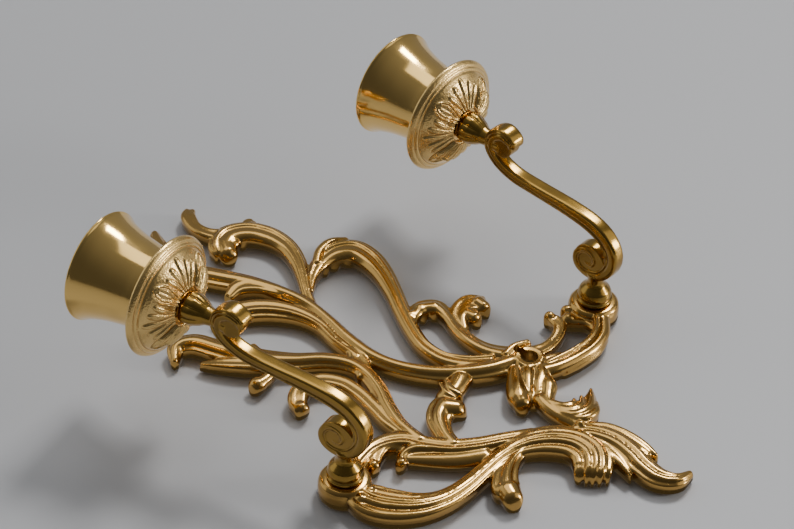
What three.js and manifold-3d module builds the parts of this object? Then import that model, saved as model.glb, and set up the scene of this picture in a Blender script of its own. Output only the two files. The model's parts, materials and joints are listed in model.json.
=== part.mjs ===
// Two-arm wall sconce for taper candles, cast and turned in polished brass.
//
// Millimetres, hung on the wall: +X to the right seen from the room, +Z up, the wall is the plane
// y = 0 and the sconce stands out towards -Y. The origin is on the flat back of the casting, midway
// between the two arm bosses and a little above the line through them.

import * as THREE from 'three';
import { mergeVertices } from 'three/addons/utils/BufferGeometryUtils.js';
import Module from 'manifold-3d';

const wasm = await Module();
wasm.setup();

// ---------------------------------------------------------------- driving dimensions

const BOSS_SPACING = 120; // between the two arm pivots
const BOSS_LINE_Z = -8; // height of the pivots below the origin
const FIT_GAP = 0.3; // clearance kept between two pieces that touch
const CUP_SCREW_TIP = 56.2; // height of the cup screw's tip in the knob, above the pivot

const BOSS = { radius: 8.7, height: 7.2, recessRadius: 5.4, recessDepth: 3.4 };
const SCREW = { shank: 2.0, bore: 2.3, head: 3.5, headHeight: 1.6, slotWidth: 0.9, slotDepth: 0.8 };
const WASHER = { outer: 4.6, inner: 2.3, thickness: 0.8 };
const KEYHOLE = { x: 23.6, z: -3.2, radius: 3.0, slotHalfWidth: 1.5, slotLength: 5.2 };

const ARM = { thickness: 4.4, width: 5.2, footBall: 5.6, footBallOut: 12 };
const CUP_AXIS_OUT = 48.6; // cup axis to wall
const KNOB_TOP = 61; // knob top above the pivot, along the arm
const PAN = { radius: 20.6, rimHeight: 68.6, floorTop: 62.6, hubRadius: 6.4 };
const CUP = { bodyRadius: 13.9, mouthRadius: 18.7, mouthHeight: 94.2, boreRadius: 11.7, floor: 3.4 };
const COUNTERBORE = { radius: 4.3, web: 1.1 }; // sinks the cup screw's head below the candle's seat

// Lean of each arm about its pivot as it stands: right-handed about +Y, in degrees.
const LEAN = { left: -10.9, right: -1.1 };

const ROUND_SEGMENTS = 28;
const SMALL_SEGMENTS = 16;
const SIMPLIFY_TOLERANCE = 0.2;

// ---------------------------------------------------------------- finishes

function brass(name, color, roughness) {
  return new THREE.MeshStandardMaterial({ name, color, roughness, metalness: 1 });
}

const FINISH = {
  casting: brass('cast_brass', 0xb08a4c, 0.28),
  arm: brass('polished_arm', 0xb8904f, 0.22),
  pan: brass('pressed_pan', 0xb99557, 0.32),
  cup: brass('turned_cup', 0xc7a468, 0.12),
  hardware: brass('hardware', 0xa9854a, 0.35),
};

// ---------------------------------------------------------------- solids

// Gives a closed three.js geometry as a manifold, with its faces pointing out.
function solid(geometry) {
  const bare = geometry.clone();
  bare.deleteAttribute('normal');
  bare.deleteAttribute('uv');
  const merged = mergeVertices(bare, 1e-4);
  const position = merged.attributes.position;
  const corner = [new THREE.Vector3(), new THREE.Vector3(), new THREE.Vector3()];
  const triangles = [];
  let volume = 0;
  for (let i = 0; i < merged.index.count; i += 3) {
    const ids = [0, 1, 2].map((k) => merged.index.getX(i + k));
    if (ids[0] === ids[1] || ids[1] === ids[2] || ids[0] === ids[2]) continue;
    ids.forEach((id, k) => corner[k].fromBufferAttribute(position, id));
    volume += corner[0].dot(corner[1].clone().cross(corner[2]));
    triangles.push(ids);
  }
  if (volume < 0) triangles.forEach((ids) => ids.reverse());
  return new wasm.Manifold(new wasm.Mesh({
    numProp: 3,
    vertProperties: new Float32Array(position.array),
    triVerts: new Uint32Array(triangles.flat()),
  }));
}

function union(solids) {
  return wasm.Manifold.union(solids);
}

function piece(name, shape, material) {
  const { numProp, vertProperties, triVerts } = shape.getMesh();
  const geometry = new THREE.BufferGeometry();
  const positions = new Float32Array((vertProperties.length / numProp) * 3);
  for (let i = 0; i < positions.length / 3; i += 1) {
    positions.set(vertProperties.subarray(i * numProp, i * numProp + 3), i * 3);
  }
  geometry.setAttribute('position', new THREE.BufferAttribute(positions, 3));
  geometry.setIndex(new THREE.BufferAttribute(new Uint32Array(triVerts), 1));
  geometry.computeVertexNormals();
  const mesh = new THREE.Mesh(geometry, material);
  mesh.name = name;
  return mesh;
}

// A turned solid about +Z: profile rows are [radius, height].
function turnedUp(profile, segments = ROUND_SEGMENTS) {
  const points = profile.map(([r, h]) => new THREE.Vector2(r, h));
  return solid(new THREE.LatheGeometry(points, segments).rotateX(Math.PI / 2));
}

// A turned solid about -Y, standing out from the wall: profile rows are [radius, distance out].
function turnedOut(profile, segments = ROUND_SEGMENTS) {
  const points = profile.map(([r, out]) => new THREE.Vector2(r, out));
  return solid(new THREE.LatheGeometry(points, segments).rotateX(Math.PI));
}

function plug(radius, from, to, turned) {
  return turned([[0, from], [radius, from], [radius, to], [0, to]], SMALL_SEGMENTS);
}

// ---------------------------------------------------------------- swept strips

// Half-round section with full shoulders: 1 wide each side, 1 high, flat underneath.
function archSection(points = 4) {
  const shoulder = 0.72;
  const outline = [];
  for (let i = 0; i <= points; i += 1) {
    const angle = Math.PI * (i / points);
    const across = Math.cos(angle);
    outline.push(new THREE.Vector2(
      Math.sign(across) * Math.abs(across) ** shoulder,
      Math.sin(angle) ** shoulder,
    ));
  }
  return new THREE.Shape(outline);
}

// Rounded-rectangle section, 1 each way from its centre.
function strapSection(points = 10) {
  const square = 0.62;
  const outline = [];
  for (let i = 0; i < points; i += 1) {
    const angle = (2 * Math.PI * (i + 0.5)) / points;
    const [c, s] = [Math.cos(angle), Math.sin(angle)];
    outline.push(new THREE.Vector2(
      Math.sign(c) * Math.abs(c) ** square,
      Math.sign(s) * Math.abs(s) ** square,
    ));
  }
  return new THREE.Shape(outline);
}

// Bends a straight extrusion of the section along a flat curve. Each control row is
// [a, b, half width, height]: a and b lie along the two plane axes, and the section's
// second direction stands along the normal of that plane.
function sweep(rows, section, { axisA, axisB, stepsPerRow = 2 }) {
  const normal = new THREE.Vector3().crossVectors(axisA, axisB);
  const path = new THREE.CatmullRomCurve3(rows.map(([a, b]) => (
    new THREE.Vector3().addScaledVector(axisA, a).addScaledVector(axisB, b))), false, 'centripetal');
  const sizes = new THREE.CatmullRomCurve3(rows.map(([, , w, h]) => new THREE.Vector3(w, h, 0)));
  const steps = stepsPerRow * (rows.length - 1);
  const geometry = new THREE.ExtrudeGeometry(section, { depth: 1, steps, bevelEnabled: false });
  const position = geometry.attributes.position;
  for (let i = 0; i < position.count; i += 1) {
    const t = Math.min(Math.max(position.getZ(i), 0), 1);
    const size = sizes.getPoint(t);
    const tangent = path.getTangent(t);
    const across = new THREE.Vector3().crossVectors(normal, tangent);
    const at = path.getPoint(t)
      .addScaledVector(across, position.getX(i) * size.x)
      .addScaledVector(normal, position.getY(i) * size.y);
    position.setXYZ(i, at.x, at.y, at.z);
  }
  return solid(geometry);
}

// ---------------------------------------------------------------- backplate casting

// Scroll strips of the casting, in a frame whose origin is on the wall midway between the
// pivots: rows are [x, z, half width, height off the wall].
const STRIPS = {
  main_stem: [[20, 0, 4, 6.5], [12, 3, 3.8, 6.5], [5, 7.5, 3.6, 6.5], [-3, 15, 3.4, 6.4],
    [-9, 25, 3.1, 6.2], [-11.6, 35, 3, 6], [-11.3, 47, 2.9, 6], [-9.6, 58, 2.7, 6], [-8.8, 68, 2.6, 6],
    [-10.4, 78, 3, 6], [-14.5, 89, 3.8, 6], [-20.5, 100, 4.4, 6], [-25.5, 110, 4.2, 5.8],
    [-26, 120, 3.6, 5.4], [-22.5, 128, 2.8, 4.8], [-19.5, 133.5, 1.6, 4]],
  arch_a: [[-8, 66, 1.6, 5], [-4.5, 73, 1.9, 5.4], [0.5, 80, 2.4, 5.8], [4.8, 87, 3, 6],
    [7.4, 95, 3.7, 6.2], [7.2, 103, 4.4, 6.4], [3.6, 110, 4.6, 6.6], [-2.5, 113, 4.6, 6.6],
    [-8, 110.5, 3.8, 6.4], [-11, 106, 2, 5.4]],
  arch_a_hook: [[-5, 113, 3.4, 6.2], [-7.2, 120, 2.6, 6], [-7, 127, 2.4, 5.6], [-4.5, 132.5, 2.2, 5],
    [-1, 134.8, 1.4, 4]],
  arch_a_lobe: [[3, 110, 2.4, 6], [6.5, 113.5, 2, 5.4], [9, 113.5, 1.5, 4.6]],
  arch_b: [[-3, 73.5, 1.4, 5], [3, 78, 2, 5.4], [9.5, 80.6, 3, 6], [16.5, 81, 4.2, 6.4],
    [22, 77.5, 4.8, 6.6], [23.2, 70.5, 4.6, 6.4], [21.2, 62, 3.8, 6.2], [17, 53, 3.2, 6], [12, 44, 3, 6],
    [7.6, 35.5, 2.8, 6], [4.5, 27, 2.8, 6], [4.6, 18.5, 3, 6], [8.5, 11, 3.4, 6.2], [15, 5, 3.6, 6.4]],
  loop_c: [[8.5, 36.5, 1.8, 5], [12.5, 39.3, 2.3, 5.6], [17.5, 40, 2.8, 6], [21.2, 37, 2.9, 6],
    [21, 31.5, 2.4, 5.8], [18.8, 25.5, 2.3, 5.6], [17.4, 18.5, 2.5, 5.8], [17.8, 11.5, 2.8, 6],
    [20.5, 5.5, 3.2, 6.2], [24.5, 1, 3.4, 6.4]],
  volute_d: [[18, 19, 1.6, 4.6], [20.6, 25.2, 2, 5], [25.4, 30, 2.6, 5.6], [31, 30.4, 3, 6],
    [34, 26.6, 2.9, 6]],
  volute_d_eye: [[22, 24.5, 1.6, 4.6], [27, 25, 3.2, 5.8]],
  rosette: [[17, -1.5, 4.6, 6.4], [23.6, -2.4, 6.2, 6.6], [30, -4, 4.6, 6.2]],
  petal_left: [[18, -3.5, 3.4, 6.4], [12.5, -8, 4.1, 6.8], [8, -13, 3.9, 6.6], [6.2, -16, 2.4, 5.4]],
  petal_mid: [[20, -8, 4.2, 6.6], [19.5, -12.5, 3.8, 6.4], [14.5, -14.5, 3, 6],
    [10.5, -16.5, 2.2, 5.4]],
  petal_bud: [[19, -10, 3, 6.6], [18.4, -15.5, 2.8, 6.6], [15.4, -18.6, 2.6, 6.2],
    [12.4, -22.5, 2.8, 6]],
  shell_stem: [[13.4, -20, 2.8, 6], [12, -26, 3.2, 6], [11.8, -31, 3, 6], [13, -36, 4, 6]],
  shell_leaf: [[12.4, -26, 3.4, 6], [15.5, -30.5, 4.9, 6.6], [20.5, -31, 4.6, 6], [25, -28.6, 2.6, 4.8],
    [28.8, -26, 0.8, 3.4]],
  shell_lobe: [[15, -31, 3.2, 6], [18, -34.6, 2.4, 5]],
  ring_low: [[22, -9, 3.6, 6.4], [28, -12.2, 3.1, 6.2], [36, -13.8, 2.8, 6], [44, -13.9, 2.8, 6],
    [51, -12, 2.9, 6], [56, -7.6, 3.4, 6.4], [59, -3, 4.4, 6.8]],
  ring_high: [[26, -1, 3, 6.2], [33, -2.6, 2.3, 5.6], [39.5, -1.6, 2.1, 5.4], [44.6, 1.4, 2.4, 5.6],
    [45.6, 5.6, 2.3, 5.6]],
  ring_high_bud: [[44, 0.6, 2.1, 5.4], [48.8, 0.6, 2.3, 5.8], [51.4, 4, 2.2, 5.6]],
  ring_inner: [[49, 0, 2, 5.4], [52, -4, 1.8, 5], [51.6, -10, 1.8, 5]],
  ring_collar: [[50, 1, 2.2, 5.6], [56, 0.5, 4.2, 6.6], [60, 0, 5, 6.8]],
  low_band: [[-60, -3, 5.4, 7], [-59.6, -10, 7, 7], [-57, -17, 6.8, 7], [-51.5, -23.2, 5.6, 6.8],
    [-44, -27, 4.2, 6.4], [-35, -28.2, 3.4, 6.2], [-25, -27.6, 3, 6.2], [-16, -27, 3.2, 6.2],
    [-7.5, -28.2, 4.6, 6.6], [-0.4, -32.4, 6.2, 7], [4.2, -39, 6.9, 7.2], [4.6, -46, 6.8, 7],
    [0.6, -51, 4.6, 6.4], [-4.6, -52.2, 2.4, 5.2]],
  last_leaf: [[8, -34, 4.4, 6.4], [13, -40, 6.4, 6.8], [14.8, -47, 7, 7], [14, -55, 6.8, 7],
    [12, -62, 5.2, 6.6], [12.2, -68.4, 4.2, 6], [16, -73, 3.1, 5.4], [22.6, -74, 1.1, 4]],
  last_leaf_right: [[16.4, -52, 4.6, 6.6], [18.4, -61, 2.2, 5.4]],
  last_leaf_left: [[10, -54, 3.8, 6.4], [7.6, -62.4, 1.4, 4.6]],
  low_curl: [[-8, -29.6, 1.8, 5.6], [-15.5, -31.2, 2.8, 6], [-21.4, -34.6, 4, 6.4],
    [-25.4, -39.4, 4.8, 6.6], [-26, -42, 4, 6]],
  high_band: [[-56, 0, 3.6, 6.6], [-50, 0.6, 3.4, 6.6], [-44, 3, 3.6, 6.6], [-38, 3.2, 3.9, 6.6],
    [-32.8, -0.6, 4.1, 6.6], [-29.6, -7, 3.8, 6.4], [-24.6, -13.4, 3.8, 6.4], [-17.6, -18.8, 3.6, 6.4],
    [-9.6, -23.4, 3.4, 6.4], [-2, -28.4, 3.6, 6.4]],
  high_band_curl: [[-30, -8.5, 2.4, 6], [-34.6, -5, 2.3, 6], [-39, -4.8, 2.1, 5.8],
    [-41.8, -6.6, 1.5, 5]],
  brace: [[-37, -6.4, 2, 5], [-32.4, -15, 2.3, 5.2], [-28.6, -25, 2.8, 5.4]],
  post: [[0, 6, 4.4, 6.4], [-6, 4, 4.3, 6.4], [-12, 0.8, 4.2, 6.6], [-17.4, -2.6, 3.4, 6.4],
    [-21.6, -7.4, 3, 6.2], [-23.4, -13, 3, 6.2]],
  post_cap: [[-5, 4, 3.4, 6.4], [-8, 8, 2, 6]],
  left_stem: [[-29.4, -4, 2.7, 6.2], [-28.6, 6, 2.8, 6.2], [-25.6, 14.6, 3, 6.2], [-21.6, 22.6, 3, 6.2],
    [-19.2, 31, 3, 6.2], [-20, 38.4, 3.2, 6.2], [-24.6, 45.4, 3.5, 6.2], [-31.6, 51.6, 4, 6.2],
    [-37.4, 58.4, 4.6, 6.2], [-42, 66, 4.6, 6.2], [-45.6, 74, 4.2, 6.2], [-49, 81.6, 4.1, 6.2],
    [-54.6, 84, 3.2, 5.8], [-59.6, 79.6, 1.3, 4.4]],
  left_stem_bud: [[-43, 61, 3.2, 6], [-48.4, 66.6, 2.7, 5.8], [-51.8, 72, 2.4, 5.4]],
  left_stem_lobe: [[-37, 54.6, 2.6, 5.8], [-43, 52.4, 2.4, 5.4], [-47.6, 52.6, 2.9, 5.4]],
  left_stem_twig: [[-38, 60, 2, 5.6], [-36.4, 66.6, 1.5, 5]],
  left_curl: [[-30.4, 2, 2.4, 6], [-30.4, 10, 2.4, 6], [-28.8, 18, 2.5, 6], [-27.6, 26, 2.6, 6],
    [-28.2, 33, 2.7, 6], [-32, 38.8, 2.8, 6], [-38, 40.6, 3, 6], [-43.4, 38.2, 3.2, 6],
    [-45.8, 34.2, 2.4, 5.4]],
  stem_bridge: [[-21, 30, 2.2, 5.8], [-16.6, 36, 3.4, 6], [-13, 43, 2.4, 5.8]],
  leaf_e: [[-15, 38, 1.8, 5.8], [-15, 48, 1.9, 5.8], [-13.4, 58, 2.2, 6], [-14.4, 66, 3, 6.2],
    [-18, 73.6, 4, 6.4], [-23.4, 79.4, 4.4, 6.4], [-30, 83, 4.2, 6.2], [-34.5, 84.4, 2.6, 5.4]],
  leaf_f: [[-10.6, 78, 2, 6], [-14.2, 86, 3, 6.4], [-19.4, 90.4, 3, 6.4], [-25, 90, 1.8, 5.4]],
};

function backplate() {
  const toRight = new THREE.Vector3(1, 0, 0);
  const up = new THREE.Vector3(0, 0, 1);
  const section = archSection();
  const parts = [];
  for (const rows of Object.values(STRIPS)) {
    parts.push(sweep(rows, section, { axisA: toRight, axisB: up }));
    for (const [x, z, width, height] of [rows[0], rows[rows.length - 1]]) {
      const end = new THREE.SphereGeometry(1, 8, 4).scale(width, height, width);
      parts.push(solid(end.translate(x, 0, z)));
    }
  }
  const boss = turnedOut([[0, 0], [BOSS.radius, 0], [BOSS.radius, BOSS.height - 1.2],
    [BOSS.radius - 0.5, BOSS.height - 0.3], [BOSS.radius - 1.2, BOSS.height], [0, BOSS.height]]);
  for (const side of [-1, 1]) parts.push(boss.translate(side * BOSS_SPACING / 2, 0, 0));

  const behindWall = solid(new THREE.BoxGeometry(300, 20, 400).translate(0, 10, 0));
  const recess = plug(BOSS.recessRadius, -1, BOSS.recessDepth, turnedOut);
  const bore = plug(SCREW.bore, 0, BOSS.height + 3, turnedOut);
  const cuts = [behindWall, keyhole()];
  for (const side of [-1, 1]) {
    cuts.push(union([recess, bore]).translate(side * BOSS_SPACING / 2, 0, 0));
  }
  const dimple = solid(new THREE.SphereGeometry(1.6, 12, 8).translate(-47.6, -5.6, 52.6));
  return union(parts).subtract(union([...cuts, dimple])).simplify(SIMPLIFY_TOLERANCE);
}

// The hole for the wall screw's head, with the slot above it that the casting drops onto.
function keyhole() {
  const { x, z, radius, slotHalfWidth, slotLength } = KEYHOLE;
  const depth = 20;
  const slot = new THREE.Shape();
  slot.moveTo(-slotHalfWidth, 0);
  slot.lineTo(slotHalfWidth, 0);
  slot.lineTo(slotHalfWidth, slotLength);
  slot.absarc(0, slotLength, slotHalfWidth, 0, Math.PI, false);
  const slotCut = new THREE.ExtrudeGeometry(slot, { depth, bevelEnabled: false, curveSegments: 8 });
  slotCut.rotateX(Math.PI / 2);
  return union([plug(radius, -1, depth, turnedOut), solid(slotCut).translate(0, 1, 0)]).translate(x, 0, z);
}

// ---------------------------------------------------------------- arm, in its own upright frame

// Centre line of the arm's strap, from the end of the lower volute to the end of the upper
// scroll: rows are [distance out, height, half thickness, half width].
function armRows() {
  const [t, w] = [ARM.thickness / 2, ARM.width / 2];
  return [[27, 2.2, 1.2, 2.2], [28.2, 5.4, 1.6, w], [24.6, 8.2, 2, w], [20.4, 7, 2.1, w], [18.9, 2.6, t, w],
    [20.6, -2.6, t, w], [25.4, -6.1, t, w], [31, -6.4, t, w], [36, -2.6, t, w], [38.9, 4, t, w],
    [39.8, 14, t, w], [39.8, 27, t, w], [40.2, 37, t, w], [42.6, 44, 2.3, w], [47, 47.4, 2.4, w + 0.3],
    [51.6, 46.8, 2.4, w + 0.6], [54.4, 43, 2.3, w + 0.8], [53.2, 39.6, 2, w + 0.6], [50.4, 39.4, 1.5, w]];
}

function arm() {
  const out = new THREE.Vector3(0, -1, 0);
  const up = new THREE.Vector3(0, 0, 1);
  const strap = sweep(armRows(), strapSection(), { axisA: out, axisB: up });
  const { footBall, footBallOut } = ARM;
  const footStart = BOSS.height + FIT_GAP;
  const ball = [];
  for (let i = 0; i <= 8; i += 1) {
    const angle = 0.62 + (i / 8) * 2.0;
    ball.push([footBall * Math.sin(angle), footBallOut - footBall * Math.cos(angle)]);
  }
  const foot = turnedOut([[0, footStart], [4.9, footStart], [5.3, footStart + 0.5],
    [4.9, footStart + 1], [3.2, footStart + 1.2],
    ...ball.slice(1), [2.6, 19], [0, 19]], SMALL_SEGMENTS);
  const sideways = (radius, halfWidth, [outAt, upAt]) => solid(
    new THREE.CylinderGeometry(radius, radius, 2 * halfWidth, 20)
      .rotateZ(Math.PI / 2).translate(0, -outAt, upAt));
  const lowerEye = sideways(4.6, 2.3, [24, 2.6]);
  const upperEye = sideways(3.6, 2.9, [50.4, 43]);
  const knob = turnedUp([[0, 46], [2.9, 46], [2.8, 52], [3.2, 54], [4, 56], [4.9, 58], [5.6, 60],
    [5.8, KNOB_TOP - 0.4], [5.4, KNOB_TOP], [0, KNOB_TOP]], SMALL_SEGMENTS).translate(0, -CUP_AXIS_OUT, 0);
  const pivotBore = plug(SCREW.bore, 0, 13.6, turnedOut);
  const knobBore = plug(SCREW.bore, 55.4, 80, turnedUp).translate(0, -CUP_AXIS_OUT, 0);
  return union([strap, foot, lowerEye, upperEye, knob]).subtract(union([pivotBore, knobBore]))
    .simplify(SIMPLIFY_TOLERANCE);
}

// ---------------------------------------------------------------- drip pan and candle cup

function dripPan() {
  const { radius, rimHeight, floorTop, hubRadius } = PAN;
  const hub = KNOB_TOP + FIT_GAP;
  return turnedUp([[SCREW.bore, hub], [hubRadius - 0.1, hub], [hubRadius, hub - 0.9],
    [hubRadius + 0.8, hub - 1.1], [8, 60.7], [12, 61.9], [16, 64.4], [18.8, 67],
    [radius - 0.8, rimHeight - 1], [radius, rimHeight - 0.2], [radius - 0.1, rimHeight + 0.5],
    [radius - 0.7, rimHeight + 0.9], [radius - 1.6, rimHeight + 0.5],
    [18, rimHeight - 0.8], [16.5, 66], [13, 63.6], [10.5, floorTop], [SCREW.bore, floorTop],
    [SCREW.bore, hub]]);
}

function candleCup() {
  const { bodyRadius, mouthRadius, mouthHeight, boreRadius, floor } = CUP;
  const base = PAN.floorTop + FIT_GAP;
  return turnedUp([[SCREW.bore, base], [9.5, base], [11.6, base + 0.7], [13.1, base + 2.2],
    [bodyRadius, base + 4.8], [bodyRadius - 0.1, 72], [bodyRadius, 76], [bodyRadius + 0.6, 80.4],
    [bodyRadius + 1.8, 86], [bodyRadius + 3.1, 90.6], [mouthRadius - 0.5, mouthHeight - 0.9],
    [mouthRadius, mouthHeight], [mouthRadius - 0.4, mouthHeight + 0.5],
    [mouthRadius - 1.1, mouthHeight + 0.3], [mouthRadius - 2.6, 91.6], [mouthRadius - 4.4, 87.6],
    [boreRadius + 0.8, 83], [boreRadius, 79], [boreRadius, base + floor + 1.4],
    [boreRadius - 1.4, base + floor],
    [COUNTERBORE.radius, base + floor], [COUNTERBORE.radius, base + COUNTERBORE.web],
    [SCREW.bore, base + COUNTERBORE.web], [SCREW.bore, base]]);
}

// ---------------------------------------------------------------- hardware

// Slotted pan-head screw along +Z with its head's underside at height 0.
function screw(shankLength) {
  const { shank, head, headHeight, slotWidth, slotDepth } = SCREW;
  const body = turnedUp([[0, -shankLength], [shank - 0.6, -shankLength], [shank, -shankLength + 0.6],
    [shank, 0], [head, 0], [head, headHeight * 0.55], [head * 0.8, headHeight * 0.9],
    [head * 0.4, headHeight], [0, headHeight]], SMALL_SEGMENTS);
  const slot = new THREE.BoxGeometry(4 * head, slotWidth, 2 * slotDepth).translate(0, 0, headHeight);
  return body.subtract(solid(slot));
}

function armScrew() {
  const headSeat = BOSS.recessDepth - FIT_GAP - WASHER.thickness - FIT_GAP;
  return screw(11).rotate([-90, 0, 0]).translate(0, -headSeat, 0);
}

function armWasher() {
  const seat = BOSS.recessDepth - FIT_GAP;
  const { outer, inner, thickness } = WASHER;
  return turnedOut([[inner, seat - thickness], [outer, seat - thickness], [outer, seat], [inner, seat],
    [inner, seat - thickness]], SMALL_SEGMENTS);
}

function cupScrew() {
  const headSeat = PAN.floorTop + FIT_GAP + COUNTERBORE.web + FIT_GAP;
  return screw(headSeat - CUP_SCREW_TIP).translate(0, -CUP_AXIS_OUT, headSeat);
}

// ---------------------------------------------------------------- assembly

const PIECES = {
  arm: [arm(), FINISH.arm],
  arm_screw: [armScrew(), FINISH.hardware],
  arm_washer: [armWasher(), FINISH.hardware],
  drip_pan: [dripPan().translate(0, -CUP_AXIS_OUT, 0), FINISH.pan],
  candle_cup: [candleCup().translate(0, -CUP_AXIS_OUT, 0), FINISH.cup],
  cup_screw: [cupScrew(), FINISH.hardware],
};

function side(name) {
  const group = new THREE.Group();
  for (const [kind, [shape, finish]] of Object.entries(PIECES)) {
    group.add(piece(`${kind}_${name}`, shape, finish));
  }
  group.position.x = (name === 'left' ? -1 : 1) * BOSS_SPACING / 2;
  group.rotation.y = THREE.MathUtils.degToRad(LEAN[name]);
  return group;
}

const sconce = new THREE.Group();
sconce.position.z = BOSS_LINE_Z;
sconce.add(piece('backplate', backplate(), FINISH.casting), side('left'), side('right'));

export default sconce;
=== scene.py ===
"""Looks for a two-arm rococo wall sconce in polished cast brass, built around its CAD frame.

The sconce hangs as it does in use: the wall is the plane y = 0, +Z is up, and the arms stand out
towards -Y. The pale ground behind it is the surface that it lies or hangs against.
"""

import json
import logging
import math
from dataclasses import dataclass
from enum import Enum
from typing import Callable, Iterable, Sequence

import bpy
import numpy as np
from mathutils import Matrix, Vector


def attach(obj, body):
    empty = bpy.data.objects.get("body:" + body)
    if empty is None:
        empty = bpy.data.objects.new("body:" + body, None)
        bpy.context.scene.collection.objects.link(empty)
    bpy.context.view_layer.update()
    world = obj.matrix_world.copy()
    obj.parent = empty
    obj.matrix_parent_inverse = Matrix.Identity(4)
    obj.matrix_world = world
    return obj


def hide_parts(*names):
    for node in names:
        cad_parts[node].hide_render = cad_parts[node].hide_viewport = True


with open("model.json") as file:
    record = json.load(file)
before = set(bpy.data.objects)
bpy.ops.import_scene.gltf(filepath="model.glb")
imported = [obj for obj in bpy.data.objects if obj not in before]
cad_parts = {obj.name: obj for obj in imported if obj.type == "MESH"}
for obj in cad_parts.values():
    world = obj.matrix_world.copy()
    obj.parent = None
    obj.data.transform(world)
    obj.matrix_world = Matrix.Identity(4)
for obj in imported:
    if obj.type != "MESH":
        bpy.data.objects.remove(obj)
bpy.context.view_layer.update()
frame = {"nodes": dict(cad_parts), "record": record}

LOG = logging.getLogger("sconce")
MM = 0.001
MERGE_DISTANCE = 1e-7
QUARTER_TURN = math.radians(90)
CUP_AXIS_OUT = 48.6

Row = tuple[float, ...]
Point = tuple[float, float]


# ---------------------------------------------------------------------------- measures from the frame


class Side(Enum):
    """The two arms, named as seen from the room."""

    LEFT = "left"
    RIGHT = "right"


def joint(name: str) -> dict:
    """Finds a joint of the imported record.

    Args:
        name: The joint's name in behaviour.joints.

    Returns:
        The joint's own record.
    """
    return next(j for j in frame["record"]["behaviour"]["joints"] if j["name"] == name)


def arm_placement(side: Side) -> Matrix:
    """Places a piece drawn upright about its pivot, in metres, onto one arm.

    Args:
        side: Which arm the piece belongs to.

    Returns:
        The matrix from the arm's own upright frame to the sconce's frame.
    """
    pivot = Vector(joint(f"arm_{side.value}_swivel")["pos_m"])
    axis = joint(f"cup_{side.value}_turn")["axis"]
    lean = math.atan2(axis[0], axis[2])
    return Matrix.Translation(pivot) @ Matrix.Rotation(lean, 4, "Y")


def cup_placement(side: Side) -> Matrix:
    """Places a piece turned about +Z, in metres, onto the cup's axis of one arm.

    Args:
        side: Which arm the piece belongs to.

    Returns:
        The matrix from the piece's own frame to the sconce's frame.
    """
    return arm_placement(side) @ Matrix.Translation((0, -CUP_AXIS_OUT * MM, 0))


BOSS_LINE_Z = joint("arm_left_swivel")["pos_m"][2]
BOSS_X = joint("arm_right_swivel")["pos_m"][0]


# ---------------------------------------------------------------------------- mesh making


def only(obj: bpy.types.Object) -> bpy.types.Object:
    """Selects one object and makes it active.

    Args:
        obj: The object to select.

    Returns:
        The same object.
    """
    bpy.ops.object.select_all(action="DESELECT")
    obj.select_set(True)
    bpy.context.view_layer.objects.active = obj
    return obj


def new_grid(name: str, across: int, along: int) -> bpy.types.Object:
    """Adds a flat grid primitive that spans -1 to 1 both ways.

    Args:
        name: The new object's name.
        across: Cells along X.
        along: Cells along Y.

    Returns:
        The grid object.
    """
    bpy.ops.object.select_all(action="DESELECT")
    bpy.ops.mesh.primitive_grid_add(x_subdivisions=across, y_subdivisions=along, size=2.0)
    obj = bpy.context.object
    obj.name = name
    return obj


def shape_mesh(obj: bpy.types.Object, form: Callable[[np.ndarray, np.ndarray], np.ndarray]) -> None:
    """Moves a grid's vertices onto a surface.

    Args:
        obj: A grid from new_grid.
        form: Takes u and v, each 0 to 1, and gives an array of x, y, z in metres.
    """
    count = len(obj.data.vertices)
    flat = np.zeros(count * 3)
    obj.data.vertices.foreach_get("co", flat)
    u, v = (flat.reshape(-1, 3)[:, :2].T + 1.0) / 2.0
    obj.data.vertices.foreach_set("co", np.asarray(form(u, v)).reshape(-1))
    obj.data.update()


def close_up(obj: bpy.types.Object, distance: float = MERGE_DISTANCE) -> bpy.types.Object:
    """Merges a rolled-up surface's seams and poles and turns its faces outwards.

    Args:
        obj: The object to close.
        distance: How near two vertices are to be one, in metres.

    Returns:
        The same object.
    """
    only(obj)
    bpy.ops.object.mode_set(mode="EDIT")
    bpy.ops.mesh.select_all(action="SELECT")
    bpy.ops.mesh.remove_doubles(threshold=distance)
    bpy.ops.mesh.normals_make_consistent(inside=False)
    bpy.ops.object.mode_set(mode="OBJECT")
    return obj


def join(name: str, parts: Sequence[bpy.types.Object]) -> bpy.types.Object:
    """Joins objects into the first one.

    Args:
        name: The joined object's name.
        parts: The objects, all meshes.

    Returns:
        The joined object.
    """
    bpy.ops.object.select_all(action="DESELECT")
    for part in parts:
        part.select_set(True)
    bpy.context.view_layer.objects.active = parts[0]
    if len(parts) > 1:
        bpy.ops.object.join()
    parts[0].name = name
    return parts[0]


def apply_modifier(obj: bpy.types.Object, kind: str, **settings: object) -> None:
    """Adds a modifier, sets it up and applies it.

    Args:
        obj: The object to change.
        kind: Blender's modifier type.
        **settings: Values for the modifier's own properties.
    """
    only(obj)
    modifier = obj.modifiers.new(kind.lower(), kind)
    for key, value in settings.items():
        setattr(modifier, key, value)
    bpy.ops.object.modifier_apply(modifier=modifier.name)


SOFTENING = 0.5
SETTLING = 0.4


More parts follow.
